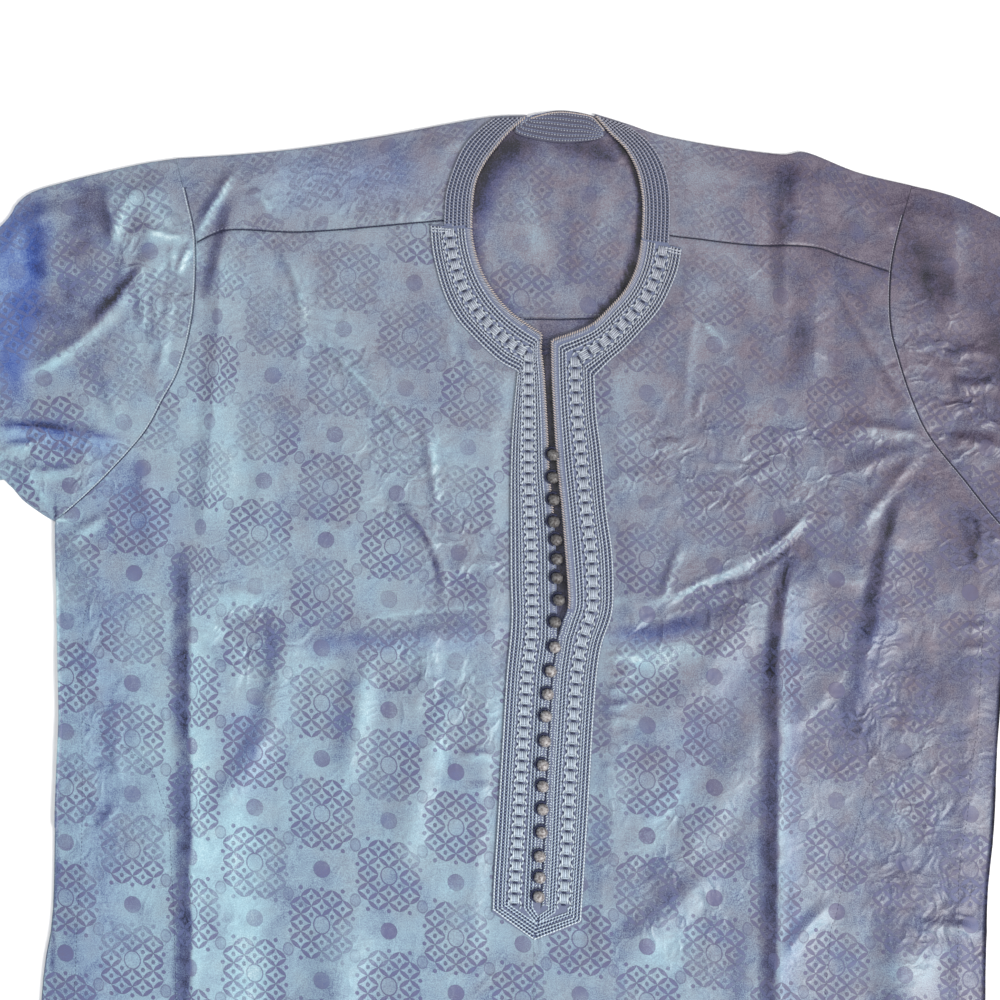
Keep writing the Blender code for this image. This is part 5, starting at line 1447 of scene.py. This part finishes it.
stitchLines = [
    # down both sides
    [(-345, -200), (-349, -229), (-349, -361), (-351, -408), (-355, -494), (-364, -700), (-381, -1188)],
    [(328, -196), (325, -235), (322, -288), (316, -331), (314, -359), (308, -398), (307, -446), (305, -560),
     (310, -780), (324, -1188)],
    # round both pockets
    [(-350, -287), (-330, -298), (-311, -311), (-302, -319), (-295, -327), (-289, -346), (-285, -358),
     (-282, -397), (-279, -480), (-281, -560), (-300, -600), (-370, -610)],
    [(320, -301), (294, -304), (278, -310), (267, -316), (253, -325), (240, -336), (236, -350),
     (232, -363), (221, -407), (215, -436), (211, -451), (205, -560), (225, -605), (318, -616)],
]
seamStitches = {
    "pitch": 3.1, "size": (2.3, 0.42, 0.3), "seamPitch": 2.0,
    # the armhole's bright and dark lines, a painted highlight and a painted shadow along the seam: which way the
    # second lies, its thread, the first one's thread
    "armhole": {"left": (1.5, "dark", "pale"), "right": (-1.4, "grey", "dark")},
    # sizes of the armhole's two painted lines and of the seam's painted shadow line
    "ridge": (2.6, 1.2, 0.8), "groove": (2.6, 0.8, 0.3), "seam": (2.6, 1.2, 0.4),
    "low": [(-16.0, 17.5), (14.0, 17.9), (40.0, 17.5)],                 # on the lower layer, in the neck
    # painted shadow: a dark line along the inside yoke seam
    "lowSeam": [(-18.0, 14.4), (10.0, 14.0), (35.0, 14.8)], "lowSize": (2.6, 1.7, 0.5),
}


def makeStitching(material):
    settings = seamStitches
    pitch, size, seamPitch = settings["pitch"], settings["size"], settings["seamPitch"]
    stitches = Stitches(lambda x, y: underside(x, y) + cloth["wall"] + 0.02)
    for line in stitchLines:
        stitches.row(smoothLine(line), pitch, size, "dark")
    for name in ways:
        seam = smoothLine(frontSeam[name])
        stitches.row(seam + (0, 1.6), pitch, size, "grey", keep=slice(1, -1))
        inward, grooveTint, ridgeTint = settings["armhole"][name]
        ridge, along = paced(hole[name][4:-2], seamPitch)
        stitches.add(ridge, along, settings["ridge"], ridgeTint)
        stitches.add(ridge + (inward, 0), along, settings["groove"], grooveTint)
        # painted shadow: a dark line along the front yoke seam
        stitches.row(seam - (0, 0.3), seamPitch, settings["seam"], "dark", 0.1, keep=slice(1, -1))
    low = Stitches(lambda x, y: np.full(x.shape, cloth["wall"] - 0.1))
    low.row(np.array(settings["low"]), pitch, size, "pale")
    low.row(np.array(settings["lowSeam"]), seamPitch, settings["lowSize"], "dark", 0.05)
    stitches.rows += low.rows
    return stitches.build("top_stitching", material, "damask")


bars = {
    "count": 4, "first": (-3.6, -1.5), "step": (0.5, -3.3), "along": (1.0, 0.08), "size": (8.0, 1.4, 1.4),
}


def makeBars(material):
    # short thread bars across the top of the slit
    stitches = Stitches(lambda x, y: braidTop(x, y) + cloth["wall"])
    spots = np.array(bars["first"]) + np.arange(bars["count"])[:, None] * bars["step"]
    stitches.add(spots, np.tile(bars["along"], (bars["count"], 1)), bars["size"], "dark", 0.2)
    return stitches.build("slit_bars", material)


def addNode(tree, kind, inputs=(), **settings):
    # a node with its settings; each input is fed by a socket or set to a value
    node = tree.nodes.new(f"ShaderNode{kind}")
    for key, value in settings.items():
        setattr(node, key, value)
    for key, value in dict(inputs).items():
        feed(value, node.inputs[key])
    return node


def feed(value, socket):
    value = value.socket if isinstance(value, Signal) else value
    if isinstance(value, bpy.types.NodeSocket):
        socket.id_data.links.new(value, socket)
    else:
        socket.default_value = value


def combine(operation, *values):
    tree = next(value.socket.id_data for value in values if isinstance(value, Signal))
    return Signal(addNode(tree, "Math", enumerate(values), operation=operation).outputs[0])


class Signal:
    # a number that varies over the surface: sums with it become math nodes
    def __init__(self, socket):
        self.socket = socket

    def __add__(self, other):
        return combine("ADD", self, other)

    def __sub__(self, other):
        return combine("SUBTRACT", self, other)

    def __rsub__(self, other):
        return combine("SUBTRACT", other, self)

    def __mul__(self, other):
        return combine("MULTIPLY", self, other)

    def __truediv__(self, other):
        return combine("DIVIDE", self, other)

    def __lt__(self, other):
        return combine("LESS_THAN", self, other)

    def __or__(self, other):      # the higher of two
        return combine("MAXIMUM", self, other)

    def __and__(self, other):     # the lower of two
        return combine("MINIMUM", self, other)

    def __abs__(self):
        return combine("ABSOLUTE", self)

    def __round__(self):
        return combine("ROUND", self)

    def __floor__(self):
        return combine("FLOOR", self)


def newGroup(name, inputs, output):
    tree = bpy.data.node_groups.new(name, "ShaderNodeTree")
    for socket, kind in inputs.items():
        tree.interface.new_socket(socket, in_out="INPUT", socket_type=f"NodeSocket{kind}")
    tree.interface.new_socket(output, in_out="OUTPUT", socket_type="NodeSocketFloat")
    return tree, tree.nodes.new("NodeGroupInput").outputs, tree.nodes.new("NodeGroupOutput").inputs[0]


damask = {
    "pitch": 50.25, "drop": 82.9, "skew": 0.10,       # half-drop repeat, millimetres
    "cellWide": 7.85, "cellHigh": 6.6, "cellsAcross": 2.5, "cellsDown": 3.5, "petal": 0.155,
    "dot": 1.5, "dotTall": 0.88, "dotLines": (3.6, 5.2, -0.25, -0.45),      # slanting lines across each dot
    "oval": (6.0, 6.75), "ovalLine": 0.07, "ovalFill": 0.15,
    "satellites": ((3, 1), (0, 4), (2, 4)), "satellite": 1.55, "satelliteTone": 0.9,
    "disc": 6.35, "discTone": 0.85, "egg": (3.75, 4.6), "eggLine": 0.1, "eggTone": 0.6, "eggFill": 0.3,
}


def damaskGroup():
    tree, given, wanted = newGroup("damaskFigure", {"Flat": "Vector"}, "Figure")
    flat = addNode(tree, "SeparateXYZ", {0: given["Flat"]}).outputs
    cellWide, cellHigh, drop, pitch = (damask[key] for key in ("cellWide", "cellHigh", "drop", "pitch"))
    x = Signal(flat["X"]) * (1 / mm)
    y = x * damask["skew"] + Signal(flat["Y"]) * (1 / mm)
    column = round(x / pitch)
    x = x - column * pitch
    y = y - combine("PINGPONG", column, 1.0) * (drop / 2)
    y = y - round(y / drop) * drop
    across, down = x / cellWide, y / cellHigh
    p, q = (across + down) * 0.5, (across - down) * 0.5
    roundP, roundQ = round(p), round(q)

    def inMedallion(i, j):
        within = (abs(i + j) < damask["cellsAcross"]) * (abs(i - j) < damask["cellsDown"])
        return within, abs(i) + abs(j) < 0.5

    def petals(value, other, otherRound, swapped):
        low = math.floor(value)
        off, runs = abs(value - low - 0.5), other - otherRound
        lens = (1.0 - runs * runs * 4.0) * damask["petal"]
        cells = [(otherRound, edge) if swapped else (edge, otherRound) for edge in (low, low + 1.0)]
        (near, nearMiddle), (far, farMiddle) = (inMedallion(*cell) for cell in cells)
        return (off < lens) * (near | far) * (1.0 - (nearMiddle | farMiddle))

    def length(a, b):
        return combine("SQRT", a * a + b * b)

    figure = petals(p, q, roundQ, False) | petals(q, p, roundP, True)
    restP, restQ = p - roundP, q - roundQ
    dotX, dotY = (restP + restQ) * cellWide, (restP - restQ) * cellHigh
    cell, middle = inMedallion(roundP, roundQ)
    perX, perY, least, fainter = damask["dotLines"]
    lines = combine("SINE", dotX * perX + dotY * perY) * -1 < least
    dot = (length(dotX, dotY * damask["dotTall"]) < damask["dot"]) * (lines * fainter + 1.0)
    figure = figure | dot * cell * (1.0 - middle)
    oval = length(x / damask["oval"][0], y / damask["oval"][1])
    figure = figure | (abs(oval - 1.0) < damask["ovalLine"]) | (oval < 1.0) * damask["ovalFill"]
    sideX, sideY = abs(x), abs(y)
    for a, b in damask["satellites"]:
        apart = length(sideX - a * cellWide, sideY - b * cellHigh)
        figure = figure | (apart < damask["satellite"]) * damask["satelliteTone"]
    figure = figure | (length(x, sideY - drop / 2) < damask["disc"]) * damask["discTone"]
    egg = length((sideX - pitch / 2) / damask["egg"][0], (sideY - drop / 4) / damask["egg"][1])
    eggLine = (abs(egg - 1.0) < damask["eggLine"]) * damask["eggTone"]
    feed(figure | eggLine | (egg < 1.0) * damask["eggFill"], wanted)
    return tree


def creaseHeights():
    # fine creases, as a height
    tree, given, wanted = newGroup("fineCreases", {"Spot": "Vector", "Size": "Float"}, "Height")
    inputs = {0: given["Spot"], "Scale": given["Size"]}
    scaled = addNode(tree, "VectorMath", inputs, operation="SCALE").outputs[0]
    inputs = {"Vector": scaled, "Scale": 1.0, "Detail": 2.0, "Distortion": 0.6}
    ridges = Signal(addNode(tree, "TexNoise", inputs).outputs["Fac"])
    feed(abs(ridges - 0.5) * -2.0, wanted)
    return tree


figureGroup, creaseGroup = damaskGroup(), creaseHeights()


def newMaterial(name):
    made = bpy.data.materials.new(name)
    made.use_nodes = True
    return made, made.node_tree, made.node_tree.nodes["Principled BSDF"].inputs


satinFinish = {
    # colours as a screen shows them, 0 to 255, from the painted shade of the darkest folds to the painted highlight of
    # the brightest satin; cool and warm follow the painted light colour, blue the painted blue light
    "places": (0.0, 0.25, 0.5, 0.75, 1.0),
    "coolGround": ((14, 16, 36), (84, 94, 135), (140, 165, 185), (164, 203, 217), (208, 232, 238)),
    "warmGround": ((14, 12, 22), (76, 66, 86), (120, 111, 126), (142, 152, 166), (192, 214, 220)),
    "coolFigure": ((58, 64, 104), (100, 112, 156), (98, 99, 137), (124, 139, 168), (190, 214, 228)),
    "warmFigure": ((44, 40, 62), (90, 84, 112), (92, 86, 112), (116, 122, 144), (180, 198, 210)),
    "blueLightGround": ((18, 30, 86), (46, 78, 158), (104, 130, 182), (148, 178, 210), (206, 224, 238)),
    "gamma": 2.2, "shade": 0.74,
    "roughness": (0.42, 0.52), "specular": 0.4,
    # painted shade and highlight along the fine creases come from the crease tone
    "creaseSize": 50.0, "creaseDepth": 2.3, "creaseShadeTone": 1.15, "creaseStep": 0.6,
    "fibre": 1200.0, "fibreTone": 0.55,                      # grain
    "cloud": 55.0, "cloudTone": 0.4, "cloudWarmth": 1.4,     # small patches of other tone and colour
    "slub": (900.0, 60.0), "slubTone": 0.06,                 # uneven threads both ways
    "figureFall": (1.3, -1.15), "figureEven": 0.85, "figurePatch": 17.0, "patchGain": 3.2,
    "figureRange": (0.25, 1.15), "emboss": 0.85,
    "wrongSide": 0.36, "wrongSideAt": (2.2, 1.1),            # height and half thickness of the lower layer
}


def colourRamp(tree, factor, places, colours):
    ramp = addNode(tree, "ValToRGB", {"Fac": factor})
    marks = ramp.color_ramp.elements
    for _ in places[2:]:
        marks.new(0.5)
    for mark, place, colour in zip(marks, places, colours):
        mark.position = place
        mark.color = (*colour, 1)
    return ramp.outputs["Color"]


def blendColour(tree, factor, low, high):
    return addNode(tree, "Mix", {"Factor": factor, 6: low, 7: high}, data_type="RGBA").outputs[2]


def satinMaterial(name, strength=1.0):
    finish = satinFinish
    made, tree, shader = newMaterial(name)
    flat = addNode(tree, "UVMap", uv_map="flat").outputs[0]
    spot = addNode(tree, "TexCoord").outputs["Object"]
    figure = Signal(addNode(tree, "Group", {"Flat": flat}, node_tree=figureGroup).outputs["Figure"])
    stored = addNode(tree, "Attribute", attribute_name="tone").outputs
    tone = addNode(tree, "SeparateColor", {0: stored["Color"]}).outputs
    crushAndShade = Signal(stored["Alpha"])

    def speckle(scale, detail, place=spot):
        inputs = {"Vector": place, "Scale": scale, "Detail": detail}
        return Signal(addNode(tree, "TexNoise", inputs).outputs["Fac"]) - 0.5

    def stretched(across, down):
        inputs = {"Vector": flat, "Scale": (across, down, 1)}
        return speckle(1.0, 1.0, addNode(tree, "Mapping", inputs).outputs[0])

    def creased(place):
        inputs = {"Spot": place, "Size": finish["creaseSize"]}
        return Signal(addNode(tree, "Group", inputs, node_tree=creaseGroup).outputs["Height"])

    def ramp(key):
        shade, gamma = finish["shade"], finish["gamma"]
        colours = [[shade * (channel / 255) ** gamma for channel in colour] for colour in finish[key]]
        return colourRamp(tree, paintedSheen, finish["places"], colours)

    # painted shade and highlight along the fine creases: their height here less their height a step towards the lamp
    step = finish["creaseStep"] * mm
    beside = addNode(tree, "VectorMath", {0: spot, 1: (step, -step, 0)}).outputs[0]
    creases = creased(spot)
    paintedSlopeShade = creases - creased(beside)
    place = addNode(tree, "SeparateXYZ", {0: spot}).outputs
    height, half = finish["wrongSideAt"]
    inside = abs(Signal(place["Z"]) - height * mm) < half * mm
    cloud = speckle(finish["cloud"], 4.0)
    fine, long = finish["slub"]
    # painted light: the stored painted shade and highlight, with grain, patches, painted crease shade and slubs
    paintedSheen = speckle(finish["fibre"], 1.0) * finish["fibreTone"] + Signal(tone["Red"])
    paintedSheen = paintedSheen + cloud * finish["cloudTone"] + paintedSlopeShade * crushAndShade * finish["creaseShadeTone"]
    paintedSheen = paintedSheen + (stretched(fine, long) + stretched(long, fine)) * finish["slubTone"]
    warmth = (cloud * finish["cloudWarmth"] + Signal(tone["Green"]) | 0.0) & 1.0
    start, perHeight = finish["figureFall"]
    least, most = finish["figureRange"]
    patchy = speckle(finish["figurePatch"], 2.0) * finish["patchGain"] + finish["figureEven"]
    patchy = (patchy * (Signal(place["Y"]) * perHeight + start) | least) & most
    amount = figure * strength * (inside * (finish["wrongSide"] - 1) + 1.0) * patchy
    ground = blendColour(tree, warmth, ramp("coolGround"), ramp("warmGround"))
    ground = blendColour(tree, tone["Blue"], ground, ramp("blueLightGround"))
    motif = blendColour(tree, warmth, ramp("coolFigure"), ramp("warmFigure"))
    feed(blendColour(tree, amount, ground, motif), shader["Base Color"])
    low, high = finish["roughness"]
    feed(amount * (high - low) + low, shader["Roughness"])
    feed(finish["specular"], shader["Specular IOR Level"])
    relief = figure * finish["emboss"] + creases * crushAndShade
    inputs = {"Strength": 1.0, "Distance": finish["creaseDepth"] * mm, "Height": relief}
    feed(addNode(tree, "Bump", inputs).outputs[0], shader["Normal"])
    return made


threadFinish = {"fuzz": 900.0, "share": 0.5, "gain": (1.2, 0.4), "bump": (0.4, 0.2)}
ballFinish = {
    "fuzz": 520.0, "places": (0.36, 0.62), "colours": ((0.11, 0.09, 0.09), (0.37, 0.36, 0.36)),
    "roughness": 0.4,
}


def fuzzOf(tree, scale, detail):
    spot = addNode(tree, "TexCoord").outputs["Object"]
    return addNode(tree, "TexNoise", {"Vector": spot, "Scale": scale, "Detail": detail}).outputs["Fac"]


def threadMaterial(name, colour=None, roughness=0.55):
    # twisted thread, uneven and fuzzy, with a colour of its own or the stitches' colour
    made, tree, shader = newMaterial(name)
    fuzz = fuzzOf(tree, threadFinish["fuzz"], 2.0)
    own = (*colour, 1) if colour else addNode(tree, "Attribute", attribute_name="thread").outputs["Color"]
    gain, least = threadFinish["gain"]
    grey = addNode(tree, "CombineColor", enumerate([Signal(fuzz) * gain + least] * 3)).outputs[0]
    inputs = {"Factor": threadFinish["share"], 6: own, 7: grey}
    tint = addNode(tree, "Mix", inputs, data_type="RGBA", blend_type="MULTIPLY").outputs[2]
    feed(tint, shader["Base Color"])
    feed(roughness, shader["Roughness"])
    strength, depth = threadFinish["bump"]
    bump = addNode(tree, "Bump", {"Strength": strength, "Distance": depth * mm, "Height": fuzz})
    feed(bump.outputs[0], shader["Normal"])
    return made


def ballMaterial(name, shade):
    # worn ball thread: pale, with brown where it is rubbed
    made, tree, shader = newMaterial(name)
    # shade darkens the whole colour, a painted shade
    colours = [[shade * channel for channel in colour] for colour in ballFinish["colours"]]
    fuzz = fuzzOf(tree, ballFinish["fuzz"], 3.0)
    feed(colourRamp(tree, fuzz, ballFinish["places"], colours), shader["Base Color"])
    feed(ballFinish["roughness"], shader["Roughness"])
    return made


satin = satinMaterial("damask_satin")
wrongSide = satinMaterial("damask_wrong_side", 0.6)
threads = threadMaterial("braid_threads")
braidGround = threadMaterial("braid_ground", (0.10, 0.12, 0.20))
bandGround = threadMaterial("back_band_ground", (0.05, 0.05, 0.085))
ballThread = ballMaterial("button_threads", 1.0)
# painted shade: a darker copy of the button thread for the buttons in shade
shadedThread = ballMaterial("button_threads_shaded", 0.4)
pocketing = threadMaterial("pocketing", (0.30, 0.33, 0.42), 0.7)

pieces = {"back": makeBack(wrongSide)}
for name in ways:
    pieces[f"front_{name}"] = makeFront(name, satin)
    print("front", name, "ready")
pieces["yoke"] = makeYoke(satin)
for name in ways:
    pieces[f"sleeve_{name}"] = makeSleeve(name, satin)
print("cloth ready")
for name in ways:
    pieces[f"trim_{name}"], pieces[f"trim_{name}_threads"] = makeTrim(name, braidGround, threads)
    pieces[f"band_{name}"], pieces[f"band_{name}_threads"] = makeNeckBand(name, braidGround, threads)
pieces["backBand"], pieces["backBand_threads"] = makeBackBand(bandGround, threads)
for index, spot in enumerate(buttons, start=1):
    # painted shade: the first buttons take the darker copy
    finish = shadedThread if index <= buttonPiece["shaded"] else ballThread
    pieces[f"button_{index:02d}"] = makeButton(index, spot, finish)
pieces["loops"] = makeLoopsAndShadows(threads)
pieces["stitching"] = makeStitching(threads)
pieces["bars"] = makeBars(threads)
for name in ways:
    node = frame["nodes"][f"pocket_bag_{name}"]
    node.data.materials.clear()
    node.data.materials.append(pocketing)

for piece in pieces.values():
    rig.ride(piece, "root")
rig.replaces(pieces["front_left"], "front_panel")
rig.replaces(pieces["back"], "back_panel")
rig.replaces(pieces["yoke"], "yoke_back", "yoke_left", "yoke_right")
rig.replaces(pieces["backBand"], "back_neck_band")
for name in ways:
    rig.replaces(pieces[f"sleeve_{name}"], f"sleeve_{name}")
    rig.replaces(pieces[f"trim_{name}"], f"trim_{name}")
    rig.replaces(pieces[f"band_{name}"], f"neck_band_{name}")
for index in range(1, len(buttons) + 1):
    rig.replaces(pieces[f"button_{index:02d}"], f"button_{index:02d}")


view = {"middle": (-36.0, -121.5, 4.0), "wide": 750.0, "lens": 70.0, "sensor": 36.0}
studio = {"floor": 6.0, "paper": (0.9, 0.9, 0.9, 1), "sky": (0.95, 0.97, 1.0, 1), "skyPower": 0.45}
lights = [
    # name, where from (metres), size, power, colour
    ("key", (2.6, -1.8, 3.4), 1.6, 235, (1.0, 0.98, 0.96)),
    ("top", (-0.6, 1.0, 4.4), 3.0, 58, (1.0, 0.99, 0.98)),
    ("fill", (-3.2, 1.4, 2.6), 2.4, 34, (0.90, 0.94, 1.0)),
]


def placed(name, data, spot=(0, 0, 0)):
    item = bpy.data.objects.new(name, data)
    item.location = spot
    bpy.context.scene.collection.objects.link(item)
    return item


def makeStage():
    mesh = bpy.data.meshes.new("floor")
    with reshaping(mesh) as bm:
        bmesh.ops.create_grid(bm, x_segments=4, y_segments=4, size=studio["floor"])
    paper, _, shader = newMaterial("floor_paper")
    feed(studio["paper"], shader["Base Color"])
    feed(0.9, shader["Roughness"])
    mesh.materials.append(paper)
    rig.stage(placed("floor", mesh))
    centre = Vector([part * mm for part in np.add(view["middle"], (neckX, neckY, 0))])
    for name, spot, size, power, colour in lights:
        lamp = bpy.data.lights.new(name, "AREA")
        lamp.size, lamp.energy, lamp.color = size, power, colour
        stand = placed(name, lamp, centre + Vector(spot))
        stand.rotation_euler = (centre - stand.location).to_track_quat("-Z", "Y").to_euler()
    world = bpy.data.worlds.new("studio")
    world.use_nodes = True
    sky = world.node_tree.nodes["Background"].inputs
    feed(studio["sky"], sky["Color"])
    feed(studio["skyPower"], sky["Strength"])
    bpy.context.scene.world = world
    lens = bpy.data.cameras.new("camera")
    lens.lens, lens.sensor_width, lens.clip_end = view["lens"], view["sensor"], 20.0
    above = view["wide"] * mm * view["lens"] / view["sensor"]
    bpy.context.scene.camera = placed("camera", lens, centre + Vector((0, 0, above)))
    bpy.context.scene.view_settings.view_transform = "Standard"


makeStage()


# each piece's size laid flat, and its area, in metres
cuts = {
    "front_left": ((0.40, 1.30), 0.42), "front_right": ((0.38, 1.29), 0.40),
    "back": ((0.76, 1.22), 0.85), "yoke": ((0.56, 0.30), 0.13),
    "sleeve_left": ((0.54, 0.50), 0.18), "sleeve_right": ((0.54, 0.52), 0.19),
}
for name, (flat, area) in cuts.items():
    companions = []
    if name.startswith("front"):
        half = name.split("_")[1]
        companions = [pieces[f"trim_{half}"], pieces[f"trim_{half}_threads"]]
    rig.sheet(pieces[name], flat=flat, area=area, held="laid", rests_on=["floor"], with_pieces=companions)

with open("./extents.json", "w") as sizes:
    json.dump({
        "cad": [list(corner) for corner in cadBox], "visual": [list(corner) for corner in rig.bounds()],
    }, sizes)
print("robe ready")
